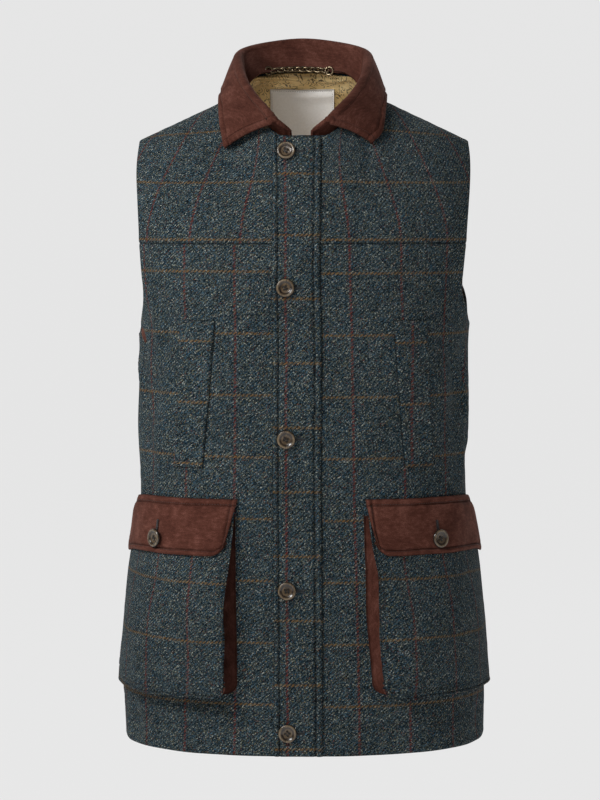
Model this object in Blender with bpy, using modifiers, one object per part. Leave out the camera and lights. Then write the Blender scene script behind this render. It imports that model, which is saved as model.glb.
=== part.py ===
"""A tweed body warmer in its hollow worn shape. Metres, +Z up, front facing -Y, wearer's left at +X.

The origin lies midway between the two points where the shoulder seams meet the neck.
"""
import math

import bmesh
import bpy
import numpy as np
from mathutils import Matrix, Vector

# Walls and gaps
CLOTH = 0.0025
THIN_CLOTH = 0.0012
LINING_CLOTH = 0.0010
COLLAR_CLOTH = 0.0026
SEAM = 0.0005
LAYER = 0.0004
LOOSE_LAYER = 0.0010
FACING_GAP = 0.0017
LABEL_GAP = 0.0026
SEAM_STRIP = 0.003
SIDE_GAP = 0.0003

# Heights
HEM = -0.704
YOKE_SEAM = -0.163
UNDERARM = -0.252
ARMHOLE_TURN = -0.198

# Level sections of the body: height, half_width, front_depth, back_depth, lean to the wearer's left
SECTIONS = (
    (-0.710, 0.1965, 0.158, 0.131, 0.0014),
    (-0.640, 0.1975, 0.155, 0.128, 0.0014),
    (-0.560, 0.1910, 0.149, 0.119, 0.0010),
    (-0.500, 0.1830, 0.145, 0.111, 0.0006),
    (-0.440, 0.1785, 0.141, 0.104, 0.0000),
    (-0.360, 0.1785, 0.138, 0.102, 0.0000),
    (-0.300, 0.1795, 0.136, 0.105, 0.0000),
    (-0.252, 0.1815, 0.134, 0.108, 0.0000),
    (-0.210, 0.1875, 0.131, 0.111, -0.0010),
    (-0.160, 0.1930, 0.127, 0.113, -0.0010),
    (-0.060, 0.1935, 0.113, 0.113, 0.0000),
    (0.060, 0.1935, 0.108, 0.113, 0.0000),
)
ROUNDNESS = 2.4
BODY_RADIUS = 0.15
HEART_HEIGHT = -0.2
LOWER_ROWS, TURN_ROWS = 14, 4
PANEL_COLUMNS, PANEL_WIDTH = 9, 0.27

# The shoulder: its ridge falls from the neck point to the tip, and the body rolls over it
NECK_POINT = 0.068
SHOULDER_SLOPE = 0.466
SHOULDER_TIP = 0.179
NECK_SWELL, NECK_STEEPNESS = 0.043, 0.8
FRONT_ROLL = (-0.250, 2.2)
BACK_ROLL = (-0.220, 4.0)
UPPER_ROWS, UPPER_HEIGHT = 8, 0.12
YOKE_COLUMNS, YOKE_WIDTH = 10, 0.17
SHOULDER_GAP = 0.0045

# The armhole's edge above its turn: height, half_width
ARMHOLE_EDGE = (
    (-0.210, 0.1765),
    (-0.170, 0.1770),
    (-0.120, 0.1790),
    (-0.070, 0.1810),
    (-0.045, 0.1790),
)

# Soft folds of the body: angle, height, width, length, lean, swell
FOLDS = (
    (62, -0.330, 0.016, 0.050, 0.30, -0.0025),
    (74, -0.350, 0.014, 0.055, 0.25, 0.0025),
    (-66, -0.340, 0.018, 0.060, -0.20, -0.0020),
    (-78, -0.380, 0.016, 0.060, -0.15, 0.0020),
    (112, -0.370, 0.022, 0.080, 0.10, -0.0030),
    (-114, -0.390, 0.022, 0.080, -0.10, -0.0030),
    (150, -0.560, 0.030, 0.120, 0.05, 0.0030),
    (-148, -0.590, 0.030, 0.120, -0.05, 0.0030),
)

# Half the collar, centre front to centre back. The neck seam and the fall's edge lie on the body,
# given by x and by how far across the shoulder they are: seam_x, seam_across, roll_x, roll_y, roll_z,
# edge_x, edge_across
COLLAR = (
    (0.0125, -0.578, 0.0290, -0.0905, -0.0335, 0.0770, -0.481),
    (0.0300, -0.551, 0.0400, -0.0800, -0.0200, 0.0850, -0.400),
    (0.0500, -0.441, 0.0510, -0.0620, -0.0060, 0.0900, -0.300),
    (0.0630, -0.272, 0.0615, -0.0330, 0.0130, 0.0905, -0.160),
    (0.0680, 0.000, 0.0668, 0.0050, 0.0330, 0.0865, 0.020),
    (0.0580, 0.092, 0.0618, 0.0380, 0.0460, 0.0775, 0.160),
    (0.0380, 0.255, 0.0400, 0.0680, 0.0550, 0.0500, 0.325),
    (0.0000, 0.326, 0.0000, 0.0790, 0.0600, 0.0000, 0.405),
)
COLLAR_X_COLUMNS = (0, 2, 5)
NECK_SIDE_ROW, NAPE_ROW = 4, 7
COLLAR_LEAN = -0.006
COLLAR_FOLD = 0.0024
NECK_DROP = 0.012
COLLAR_BULGE = 0.004
COLLAR_LIFT = 0.0036
COLLAR_RISE = 0.0016
STAND_SHARES = (0, 0.35, 0.7)
FALL_SHARES = (0.25, 0.5, 0.75, 0.93, 1)

# Centre front
FRONT_MEET = 0.004
FRONT_GAP = 0.0010
PLACKET_EDGE = -0.0325
PLACKET_SEAM = 0.0165
PLACKET_COLUMNS, PLACKET_DROP = 5, 0.0065
BUTTON_X = -0.0187
BUTTON_HEIGHTS = (-0.066, -0.210, -0.369, -0.529, -0.679)

# Hand-warmer welts: corners as half-width at the top and at the foot
WELT_TOP, WELT_FOOT = -0.244, -0.401
WELT_INNER = (0.094, 0.107)
WELT_OUTER = (0.131, 0.138)
WELT_ROWS, WELT_COLUMNS, WELT_WIDTH = 8, 5, 0.034

# Bellows pockets
FLAP_TOP, FLAP_FOOT = -0.433, -0.493
POCKET_TOP, POCKET_FOOT = -0.447, -0.643
POCKET_INNER = 0.070
POCKET_OUTER_ANGLE = math.radians(85)
POCKET_WIDTH = 0.19
POCKET_CORNER = 0.012
FLAP_CORNER = 0.010
# How far the face stands off the body: height, inner edge, outer edge
POCKET_DEPTHS = (
    (-0.643, 0.0240, 0.0060),
    (-0.600, 0.0240, 0.0070),
    (-0.545, 0.0210, 0.0085),
    (-0.500, 0.0140, 0.0085),
    (-0.447, 0.0055, 0.0045),
)
POCKET_SLANT, SLANT_LENGTH = 0.012, 0.13
POCKET_CORNER_RUNS = (0, 0.0015, 0.0045, 0.009)
POCKET_MIDDLE, POCKET_COLUMNS, POCKET_ROWS = 0.02, 7, 8
GUSSET_INSET = 0.0015
GUSSET_FOLD = 0.006
GUSSET_DROP = 0.004
GUSSET_GAP = 0.0006
FLAP_SPREAD, FLAP_SLANT = 0.002, 1.3
FLAP_EASE = 0.016
FLAP_SHARES = (0, 0.08, 0.17, 0.27, 0.45, 0.65, 0.85, 1)
FLAP_BUTTON_HEIGHT = -0.477
FLAP_BUTTON_SHARES = {"flap_button_left": 0.375, "flap_button_right": 0.455}

# Inside
FACING_WIDTH, FACING_EDGE, FACING_ROWS = 0.026, 0.001, 9
ARMHOLE_DEPTH = 0.16
LINING_SPARE_COLUMNS = 3
LABEL_TOP, LABEL_FOOT, LABEL_HALF = 0.006, -0.046, 0.037
LABEL_ROWS, LABEL_COLUMNS = 6, 7

# Buttons: the disc's turned profile, radius and height
BUTTON_PROFILE = (
    (0.0000, 0.0024),
    (0.0062, 0.0024),
    (0.0078, 0.0036),
    (0.0090, 0.0038),
    (0.0100, 0.0024),
    (0.0098, 0.0008),
    (0.0080, 0.0000),
    (0.0000, 0.0000),
)
BUTTON_HOLE, BUTTON_HOLE_OUT = 0.0011, 0.0022
BUTTON_LIFT, FLAP_BUTTON_LIFT = 0.0008, 0.0012
BUTTON_SIDES, HOLE_SIDES = 14, 5
HOLE_DEPTH = 0.01

# Hanger chain
CHAIN_HALF, CHAIN_RADIUS, CHAIN_GAP = 0.034, 0.0018, 0.0026
CHAIN_HEIGHT, CHAIN_SAG = 0.0335, 0.004
CHAIN_STEPS = 13


def along(at, knots, values):
    """A smooth curve through the values at the knots."""
    knots, values = np.asarray(knots, float), np.asarray(values, float)
    slopes = np.gradient(values, knots)
    i = np.clip(np.searchsorted(knots, at) - 1, 0, len(knots) - 2)
    step = knots[i + 1] - knots[i]
    t = np.clip((at - knots[i]) / step, 0, 1)
    start = (2 * t**3 - 3 * t**2 + 1) * values[i] + (t**3 - 2 * t**2 + t) * step * slopes[i]
    end = (3 * t**2 - 2 * t**3) * values[i + 1] + (t**3 - t**2) * step * slopes[i + 1]
    return start + end


def column(table, at, number):
    """One column of a table, read at heights that are its first column."""
    rows = np.array(table)
    return along(at, rows[:, 0], rows[:, number])


def ease(t):
    t = np.clip(t, 0, 1)
    return t * t * (3 - 2 * t)


def ridge(x):
    """The height of the shoulder ridge. Inside the neck point it is only a guide."""
    share = np.abs(x) / NECK_POINT
    height = np.maximum(1 - share**2, 0)
    inside = SHOULDER_SLOPE * NECK_POINT * height / 2 + NECK_SWELL * height**NECK_STEEPNESS
    return np.where(share < 1, inside, SHOULDER_SLOPE * NECK_POINT * (1 - share))


def roll(x, z, front):
    """How much of the body's depth is left where it rolls over the shoulder: 1 below, 0 on the ridge."""
    low = np.where(front, FRONT_ROLL[0], BACK_ROLL[0])
    power = np.where(front, FRONT_ROLL[1], BACK_ROLL[1])
    share = np.clip((z - low) / (ridge(x) - low), 0, 1)
    return np.sqrt(1 - share**power)


def fold_swell(angle, z):
    swell = 0
    for middle, height, width, length, lean, size in FOLDS:
        across = BODY_RADIUS * (angle - math.radians(middle)) - lean * (z - height)
        swell = swell + size * np.exp(-((across / width) ** 2) - ((z - height) / length) ** 2)
    return swell


def body(angle, z):
    """A point of the body by angle, 0 at centre front and growing to the wearer's left, and height."""
    s, c = np.sin(angle), np.cos(angle)
    radius = (np.abs(s) ** ROUNDNESS + np.abs(c) ** ROUNDNESS) ** (-1 / ROUNDNESS)
    x = column(SECTIONS, z, 1) * radius * s
    depth = np.where(c > 0, column(SECTIONS, z, 2), column(SECTIONS, z, 3))
    y = -depth * radius * c * roll(x, z, c > 0)
    turned = np.where(angle > math.pi, angle - 2 * math.pi, angle)
    swell = 1 + fold_swell(turned, z) / BODY_RADIUS
    return np.stack([x * swell + column(SECTIONS, z, 4), y * swell, z + 0 * x], -1)


def angle_of(x, z, front=True):
    share = np.clip(np.abs(x) / column(SECTIONS, z, 1), 0, 0.9999)
    other = (1 - share**ROUNDNESS) ** (1 / ROUNDNESS)
    return np.arctan2(np.sign(x) * share, np.where(front, other, -other))


def shoulder(x, across):
    """A point of the upper body by x and by where it is across the shoulder: -1 front, 0 ridge, 1 back."""
    front = across < 0
    low = np.where(front, FRONT_ROLL[0], BACK_ROLL[0])
    z = low + (ridge(x) - low) * (1 - across**2)
    return body(angle_of(x, z, front), z)


def across_of(x, z, front=True):
    low = FRONT_ROLL[0] if front else BACK_ROLL[0]
    share = np.clip((z - low) / (ridge(x) - low), 0, 1)
    return (-1 if front else 1) * np.sqrt(1 - share)


def laid(surface, a, b, out):
    """Points of a surface moved out along its normal."""
    step = 2e-5
    a, b = np.broadcast_arrays(np.asarray(a, float), np.asarray(b, float))
    points = surface(a, b)
    along_a = surface(a + step, b) - surface(a - step, b)
    along_b = surface(a, b + step) - surface(a, b - step)
    normal = np.cross(along_a, along_b)
    normal /= np.linalg.norm(normal, axis=-1, keepdims=True)
    heart = np.stack([0 * a, 0 * a, np.minimum(points[..., 2], HEART_HEIGHT)], -1)
    normal *= np.sign(np.sum(normal * (points - heart), -1))[..., None]
    return points + normal * np.asarray(out)[..., None]


def stops(count, length):
    """Fractions from 0 to 1 with a narrow seam strip at each end of a stretch of this length."""
    strip = SEAM_STRIP / length
    return np.concatenate([[0], np.linspace(strip, 1 - strip, count), [1]])


def armhole_half(z):
    return column(ARMHOLE_EDGE, z, 1)


def outer_angle(z):
    """Where a front panel ends: on the side seam, round the armhole's foot, or at its edge."""
    turn_angle = angle_of(armhole_half(ARMHOLE_TURN), ARMHOLE_TURN)
    rise = np.clip((z - UNDERARM) / (ARMHOLE_TURN - UNDERARM), 0, 1)
    foot = math.pi / 2 - (math.pi / 2 - turn_angle) * np.sin(np.arccos(1 - rise))
    seam = math.pi / 2 - SIDE_GAP / column(SECTIONS, z, 2)
    foot = np.minimum(foot, seam)
    return np.where(z > ARMHOLE_TURN, angle_of(armhole_half(np.maximum(z, ARMHOLE_TURN)), z), foot)


def row_heights(top):
    """Heights from the hem to the top of a lower panel, close together round the armhole's foot."""
    below = np.linspace(HEM, UNDERARM, LOWER_ROWS)
    turn = np.arange(1, TURN_ROWS + 1) * math.pi / 2 / TURN_ROWS
    foot = UNDERARM + (ARMHOLE_TURN - UNDERARM) * (1 - np.cos(turn))
    return np.concatenate([below, foot, [top - SEAM_STRIP, top]])


def collar_column(row, number):
    """One column of the collar's table, running on past centre back as its mirror image."""
    values = [line[number] for line in COLLAR]
    mirror = -1 if number in COLLAR_X_COLUMNS else 1
    return along(row, np.arange(len(values) + 1), values + [mirror * values[-2]])


def neck_seam(row):
    """The neck seam on the body, by row of the collar's table: x and how far across the shoulder."""
    return collar_column(row, 0), collar_column(row, 1)


def upper_rows(side_sign, foot_x, foot_z, neck_rows, front, neck_count):
    """A panel from a level line up to the neck and the shoulder seam."""
    neck_x, neck_across = neck_seam(np.linspace(*neck_rows, neck_count))
    length = SHOULDER_TIP - NECK_POINT
    shoulder_x = NECK_POINT + length * stops(len(foot_x) - neck_count - 1, length)[1:]
    sign = -1 if front else 1
    top_x = np.concatenate([neck_x, shoulder_x])
    top_across = np.concatenate([neck_across, 0 * shoulder_x])
    top_across = sign * (np.abs(top_across) * (1 + NECK_DROP) + SHOULDER_GAP)
    share = stops(UPPER_ROWS, UPPER_HEIGHT)[:, None]
    foot_across = across_of(foot_x, foot_z, front)
    x = foot_x + (top_x - foot_x) * share
    across = foot_across + (top_across - foot_across) * share
    low = FRONT_ROLL[0] if front else BACK_ROLL[0]
    height = low + (ridge(x) - low) * (1 - across**2)
    spread = np.linspace(0, 1, len(foot_x)) ** 2
    edge = foot_x[-1] + (top_x[-1] - foot_x[-1]) * share
    x = x + spread * (armhole_half(height) - edge)
    return side_sign * x, across


def front_angles(z, columns):
    inner = angle_of(FRONT_MEET + 0 * z, z)
    return inner[:, None] + (outer_angle(z) - inner)[:, None] * columns


def make_mesh(name, grid, closed=False, hinge=None):
    """Quads over a grid of points. With hinge, faces are turned to look away from it."""
    rows, columns = grid.shape[:2]
    form = bmesh.new()
    corners = [[form.verts.new(point) for point in row] for row in grid.tolist()]
    for i in range(rows - 1):
        for j in range(columns if closed else columns - 1):
            k = (j + 1) % columns
            form.faces.new((corners[i][j], corners[i][k], corners[i + 1][k], corners[i + 1][j]))
    form.normal_update()
    if hinge is not None:
        facing = sum(face.normal.dot(face.calc_center_median() - Vector(hinge)) for face in form.faces)
        if facing < 0:
            bmesh.ops.reverse_faces(form, faces=form.faces)
    mesh = bpy.data.meshes.new(name)
    form.to_mesh(mesh)
    form.free()
    mesh.shade_smooth()
    return mesh


def make_material(name, colour, roughness, metallic=0.0):
    material = bpy.data.materials.new(name)
    material.use_nodes = True
    shader = material.node_tree.nodes["Principled BSDF"]
    shader.inputs["Base Color"].default_value = (*colour, 1)
    shader.inputs["Roughness"].default_value = roughness
    shader.inputs["Metallic"].default_value = metallic
    material.diffuse_color = (*colour, 1)
    return material


def cloth(name, grid, wall, look, closed=False, offset=-1, hinge=(0, 0, -0.3)):
    """A wall of cloth on a grid of points, thickened inwards."""
    item = bpy.data.objects.new(name, make_mesh(name, grid, closed, hinge))
    item.data.materials.append(look)
    solidify = item.modifiers.new("wall", "SOLIDIFY")
    solidify.thickness = wall
    solidify.offset = offset
    solidify.use_quality_normals = True
    PARTS.objects.link(item)
    return item


def build_fronts(look):
    columns = stops(PANEL_COLUMNS, PANEL_WIDTH)
    z = row_heights(YOKE_SEAM - SEAM / 2)
    for name, sign in (("front_left", 1), ("front_right", -1)):
        angle = front_angles(z, columns)
        if sign < 0:
            inner = angle_of(FRONT_GAP - FRONT_MEET + 0 * z, z)[:, None]
            angle = inner + (outer_angle(z)[:, None] - inner) * columns
        cloth(name, laid(body, sign * angle, z[:, None], 0), CLOTH, look)


def build_yokes(look):
    foot_z = YOKE_SEAM + SEAM / 2
    for name, sign, meet in (("yoke_left", 1, FRONT_MEET), ("yoke_right", -1, FRONT_GAP - FRONT_MEET)):
        foot_x = meet + (armhole_half(foot_z) - meet) * stops(YOKE_COLUMNS, YOKE_WIDTH)
        x, across = upper_rows(sign, foot_x, foot_z, (0, NECK_SIDE_ROW), True, 5)
        x[:, 0] = sign * meet
        cloth(name, laid(shoulder, x, across, 0), CLOTH, look)


def back_columns():
    return np.concatenate([[0], stops(PANEL_COLUMNS, PANEL_WIDTH)[1:]])


def back_lower(side_sign, out=0.0):
    """Half the back below the yoke's height, centre to edge."""
    z = row_heights(YOKE_SEAM)[:-2]
    outer = math.pi - outer_angle(z)
    angle = math.pi + (outer - math.pi)[:, None] * back_columns()
    return laid(body, side_sign * angle, z[:, None], out)


def back_upper(side_sign, out=0.0):
    """Half the back from the yoke's height to the neck and the shoulder seam, centre to edge."""
    z = row_heights(YOKE_SEAM)[-3]
    columns = back_columns()
    angle = math.pi - outer_angle(z) * columns
    foot_x = body(angle, np.full(len(columns), z))[:, 0]
    x, across = upper_rows(side_sign, foot_x, z, (NAPE_ROW, NECK_SIDE_ROW), False, 4)
    return laid(shoulder, x, across, out)


def both_sides(half, other):
    """Two halves, each from the centre out, as one grid with a shared middle."""
    middle = (half[:, :1] + other[:, :1]) / 2 * np.array([0, 1, 1])
    return np.concatenate([other[:, :0:-1], middle, half[:, 1:]], axis=1)


def build_back(look):
    halves = [np.concatenate([back_lower(sign), back_upper(sign)[1:]]) for sign in (1, -1)]
    cloth("back", both_sides(*halves), CLOTH, look)


def build_placket(look):
    width = PLACKET_SEAM - PLACKET_EDGE
    x = PLACKET_EDGE + width * stops(PLACKET_COLUMNS, width)
    z = row_heights(YOKE_SEAM)[:-1]
    lower = laid(body, angle_of(x[None, :] + 0 * z[:, None], z[:, None]), z[:, None], CLOTH + LAYER)
    share = stops(UPPER_ROWS, UPPER_HEIGHT)[:, None]
    table = np.array(COLLAR)
    top = -along(np.abs(x), table[:3, 0], -table[:3, 1]) * (1 + NECK_DROP) - PLACKET_DROP
    foot = across_of(x, YOKE_SEAM)
    upper = laid(shoulder, x + 0 * share, foot + (top - foot) * share, CLOTH + LAYER)
    cloth("placket", np.concatenate([lower, upper]), CLOTH, look)


def build_welts(look):
    share = np.linspace(0, 1, WELT_ROWS)[:, None]
    z = WELT_TOP + (WELT_FOOT - WELT_TOP) * share
    inner = WELT_INNER[0] + (WELT_INNER[1] - WELT_INNER[0]) * share
    outer = WELT_OUTER[0] + (WELT_OUTER[1] - WELT_OUTER[0]) * share
    x = inner + (outer - inner) * stops(WELT_COLUMNS, WELT_WIDTH)
    for name, sign in (("welt_left", 1), ("welt_right", -1)):
        cloth(name, laid(body, sign * angle_of(x, z + 0 * x), z + 0 * x, CLOTH + LAYER), CLOTH, look)


def pocket_slant(z):
    """How far the face's inner edge has moved from the base of the gusset."""
    return POCKET_SLANT * ease((FLAP_TOP - z) / SLANT_LENGTH)


def pocket_angle(run, z):
    """The body angle at a distance from the pocket's inner edge."""
    inner = angle_of(POCKET_INNER + 0 * z, z)
    return inner + (POCKET_OUTER_ANGLE - inner) * run / POCKET_WIDTH


def pocket_depth(run, z):
    inner, outer = column(POCKET_DEPTHS, z, 1), column(POCKET_DEPTHS, z, 2)
    return inner + (outer - inner) * ease(run / POCKET_WIDTH)


def corner_rise(run, width, radius):
    """How far a rounded corner lifts a lower edge, by distance along it."""
    near = np.clip(np.minimum(run, width - run), 0, radius)
    return radius - np.sqrt(radius**2 - (radius - near) ** 2)


def pocket_runs(inset=0.0):
    corner = np.array(POCKET_CORNER_RUNS)
    middle = np.linspace(POCKET_MIDDLE, POCKET_WIDTH - POCKET_MIDDLE, POCKET_COLUMNS)
    runs = np.concatenate([corner, middle, POCKET_WIDTH - corner[::-1]])
    return inset + runs * (POCKET_WIDTH - 2 * inset) / POCKET_WIDTH


def build_pocket_faces(look):
    run = pocket_runs()
    share = np.concatenate([np.linspace(0, 0.94, POCKET_ROWS), [1]])[:, None]
    foot = POCKET_FOOT + corner_rise(run, POCKET_WIDTH, POCKET_CORNER)
    z = POCKET_TOP + (foot - POCKET_TOP) * share
    run = run + pocket_slant(z) * (1 - run / POCKET_WIDTH)
    for name, sign in (("pocket_face_left", 1), ("pocket_face_right", -1)):
        grid = laid(body, sign * pocket_angle(run, z), z, pocket_depth(run, z))
        cloth(name, grid, CLOTH, look)


def gusset_path(inset):
    """The gusset's line down one side of the pocket, along its foot and up the other side."""
    radius = POCKET_CORNER
    foot, far = POCKET_FOOT + inset, POCKET_WIDTH - inset
    down = np.linspace(POCKET_TOP - GUSSET_DROP, foot + radius, 7)[:-1]
    turn = np.linspace(0, math.pi / 2, 4)
    floor = np.linspace(inset + radius, far - radius, 9)[1:-1]
    run = np.concatenate([0 * down + inset, inset + radius * (1 - np.cos(turn)), floor,
                          far - radius * (1 - np.sin(turn)), 0 * down + far])
    z = np.concatenate([down, foot + radius * (1 - np.sin(turn)), 0 * floor + foot,
                        foot + radius * (1 - np.cos(turn)), down[::-1]])
    return run, z


def build_gussets(look):
    """The bellows wall between the body and the pocket's face, its middle folded in."""
    edge = THIN_CLOTH / 2 + LAYER
    for name, sign in (("gusset_left", 1), ("gusset_right", -1)):
        rows = []
        for share in np.linspace(0, 1, 5):
            run, z = gusset_path(GUSSET_INSET + GUSSET_FOLD * math.sin(math.pi * share))
            run = run + share * pocket_slant(z) * (1 - run / POCKET_WIDTH)
            outer = pocket_depth(run, z) - CLOTH - THIN_CLOTH / 2 - GUSSET_GAP
            rows.append(laid(body, sign * pocket_angle(run, z), z, edge + (outer - edge) * share))
        cloth(name, np.stack(rows), THIN_CLOTH, look, offset=0, hinge=None)


def flap_out(run, z):
    rest = CLOTH + LOOSE_LAYER
    return rest + ease((FLAP_TOP - z) / FLAP_EASE) * (pocket_depth(run, z) + LAYER)


def build_flaps(look):
    run = pocket_runs(-FLAP_SPREAD)
    foot = FLAP_FOOT + corner_rise(run + FLAP_SPREAD, POCKET_WIDTH + 2 * FLAP_SPREAD, FLAP_CORNER)
    share = np.array(FLAP_SHARES)[:, None]
    z = FLAP_TOP + (foot - FLAP_TOP) * share
    run = run + FLAP_SLANT * pocket_slant(z) * (1 - run / POCKET_WIDTH)
    for name, sign in (("flap_left", 1), ("flap_right", -1)):
        cloth(name, laid(body, sign * pocket_angle(run, z), z, flap_out(run, z)), CLOTH, look)


def collar_section(row, sign):
    """One section of the collar: up the stand, over the fold and down the fall."""
    seam_x, seam_across, roll_x, roll_y, roll_z, edge_x, edge_across = (
        float(collar_column(row, number)) for number in range(7)
    )
    lean = COLLAR_LEAN * (1 - min(row / NECK_SIDE_ROW, 1)) ** 2
    seam = shoulder(np.array(seam_x), np.array(seam_across))
    inwards = np.array([-seam[0], -seam[1], 0]) / math.hypot(seam[0], seam[1])
    seam = seam + inwards * (COLLAR_CLOTH / 2 + LAYER) + np.array([0, 0, COLLAR_RISE])
    edge = laid(shoulder, edge_x, edge_across, COLLAR_LIFT)
    turn = np.array([roll_x, roll_y, roll_z])
    out = np.array([edge[0] - seam[0], edge[1] - seam[1], 0])
    out /= np.linalg.norm(out)
    bend = turn - np.array([0, 0, COLLAR_FOLD])
    angles = np.radians([180, 135, 90, 45, 0])
    up = np.array([0, 0, 1])
    fold = [bend + COLLAR_FOLD * (math.cos(a) * out + math.sin(a) * up) for a in angles]
    stand = [seam + (fold[0] - seam) * t for t in STAND_SHARES]
    swell = (fold[-1] + edge) / 2 + COLLAR_BULGE * (out + up)
    fall = [(1 - t) ** 2 * fold[-1] + 2 * t * (1 - t) * swell + t * t * edge for t in FALL_SHARES]
    points = np.array(stand + fold + fall)
    points[:, 0] = sign * points[:, 0] + lean
    return points


def build_collar(look):
    rows = np.linspace(0, NAPE_ROW, 2 * NAPE_ROW + 1)
    half = [collar_section(row, 1) for row in rows]
    other = [collar_section(row, -1) for row in rows[:-1]]
    grid = np.array(other + half[::-1])
    cloth("collar", grid, COLLAR_CLOTH, look, offset=0, hinge=None)


def armhole_loop(width, out):
    """Points round an armhole's edge and, width inside it, on the body: front tip, underarm, back tip."""
    upper = np.linspace(0, 1, FACING_ROWS)
    sides = []
    for front in (True, False):
        across_foot = across_of(armhole_half(ARMHOLE_TURN), ARMHOLE_TURN, front)
        across = across_foot * upper
        low = FRONT_ROLL[0] if front else BACK_ROLL[0]
        x = SHOULDER_TIP + 0 * across
        for _ in range(3):
            z = low + (ridge(x) - low) * (1 - across**2)
            x = armhole_half(z) - width
        sides.append(laid(shoulder, x, across, out))
    turn = np.linspace(0, math.pi / 2, 6)[:-1]
    z_edge = UNDERARM + (ARMHOLE_TURN - UNDERARM) * (1 - np.cos(turn))
    turn_angle = angle_of(armhole_half(ARMHOLE_TURN), ARMHOLE_TURN)
    angle_edge = math.pi / 2 - (math.pi / 2 - turn_angle) * np.sin(turn)
    angle = angle_edge - width * np.sin(turn) ** 1.5 / ARMHOLE_DEPTH
    z = z_edge - width * np.cos(turn) ** 0.8
    foot_front = laid(body, angle, z, out)
    foot_back = laid(body, math.pi - angle, z, out)
    return np.concatenate([sides[0], foot_front[::-1], foot_back[1:], sides[1][::-1][:-1]])


def build_facings(look):
    widths = (FACING_EDGE, FACING_WIDTH / 2, FACING_WIDTH)
    grid = np.stack([armhole_loop(width, -CLOTH - FACING_GAP) for width in widths])
    cloth("armhole_facing_left", grid, LINING_CLOTH, look, closed=True)
    cloth("armhole_facing_right", grid * np.array([-1, 1, 1]), LINING_CLOTH, look, closed=True)


def lining_grid(out):
    """The back's own points above the lining's foot, without those near the armholes and the seams."""
    halves = [back_upper(sign, out)[:-1, :-LINING_SPARE_COLUMNS] for sign in (1, -1)]
    return both_sides(*halves)


def build_lining(look):
    cloth("neck_lining", lining_grid(-CLOTH - LAYER), LINING_CLOTH, look)


def build_label(look):
    """The label on the lining: its points lie between the lining's."""
    grid = lining_grid(-CLOTH - LINING_CLOTH - LAYER - LABEL_GAP)
    heights = grid[:, grid.shape[1] // 2, 2]
    spots = np.interp(np.linspace(LABEL_FOOT, LABEL_TOP, LABEL_ROWS), heights, np.arange(len(heights)))
    rows = []
    for spot in spots:
        i = min(int(spot), len(grid) - 2)
        line = grid[i] + (grid[i + 1] - grid[i]) * (spot - i)
        x = np.linspace(-LABEL_HALF, LABEL_HALF, LABEL_COLUMNS)
        y, z = (np.interp(x, line[:, 0], line[:, axis]) for axis in (1, 2))
        rows.append(np.stack([x, y, z], -1))
    cloth("neck_label", np.array(rows), LINING_CLOTH, look)


def build_chain(look):
    """The hanger, as a plain rod that sags between its two ends on the stand."""
    sections = [collar_section(row, 1) for row in np.linspace(NAPE_ROW, NECK_SIDE_ROW, CHAIN_STEPS)]
    stand = np.array([section[0] * 0.6 + section[1] * 0.4 for section in sections])
    points = []
    for share in np.linspace(-1, 1, CHAIN_STEPS):
        x = share * CHAIN_HALF
        y = np.interp(abs(x), stand[:, 0], stand[:, 1]) - COLLAR_CLOTH / 2 - CHAIN_RADIUS - CHAIN_GAP
        points.append((x, y, CHAIN_HEIGHT - CHAIN_SAG * (1 - share**2)))
    curve = bpy.data.curves.new("hanger_chain", "CURVE")
    curve.dimensions = "3D"
    curve.bevel_depth = CHAIN_RADIUS
    curve.bevel_resolution = 1
    curve.use_fill_caps = True
    line = curve.splines.new("POLY")
    line.points.add(len(points) - 1)
    for spot, point in zip(line.points, points):
        spot.co = (*point, 1)
    curve.materials.append(look)
    PARTS.objects.link(bpy.data.objects.new("hanger_chain", curve))


def button_mesh(look):
    """A turned disc with a raised rim and four holes."""
    profile = bpy.data.meshes.new("button_profile")
    points = [(radius, 0, height) for radius, height in BUTTON_PROFILE]
    profile.from_pydata(points, [(i, i + 1) for i in range(len(points) - 1)], [])
    disc = bpy.data.objects.new("button_disc", profile)
    screw = disc.modifiers.new("turn", "SCREW")
    screw.steps = screw.render_steps = BUTTON_SIDES
    screw.use_merge_vertices = True
    screw.merge_threshold = 0.00001
    holes = bmesh.new()
    for quarter in range(4):
        spin = math.radians(45 + 90 * quarter)
        spot = (BUTTON_HOLE_OUT * math.cos(spin), BUTTON_HOLE_OUT * math.sin(spin), 0)
        place = Matrix.Translation(spot)
        bmesh.ops.create_cone(holes, cap_ends=True, segments=HOLE_SIDES, radius1=BUTTON_HOLE,
                              radius2=BUTTON_HOLE, depth=HOLE_DEPTH, matrix=place)
    cutter_mesh = bpy.data.meshes.new("button_holes")
    holes.to_mesh(cutter_mesh)
    holes.free()
    cutter = bpy.data.objects.new("button_holes", cutter_mesh)
    cutter.hide_render = True
    cutter.display_type = "WIRE"
    CUTTERS.objects.link(cutter)
    cut = disc.modifiers.new("holes", "BOOLEAN")
    cut.object = cutter
    PARTS.objects.link(disc)
    bpy.context.view_layer.update()
    shape = bpy.data.meshes.new_from_object(disc.evaluated_get(bpy.context.evaluated_depsgraph_get()))
    bpy.data.objects.remove(disc)
    shape.name = "button"
    shape.materials.clear()
    shape.materials.append(look)
    shape.shade_smooth()
    shape.set_sharp_from_angle(angle=math.radians(35))
    return shape


def place_button(name, shape, point, towards):
    button = bpy.data.objects.new(name, shape)
    turn = Vector(towards).to_track_quat("Z", "Y").to_matrix().to_4x4()
    button.matrix_world = Matrix.Translation(point) @ turn
    PARTS.objects.link(button)


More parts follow.
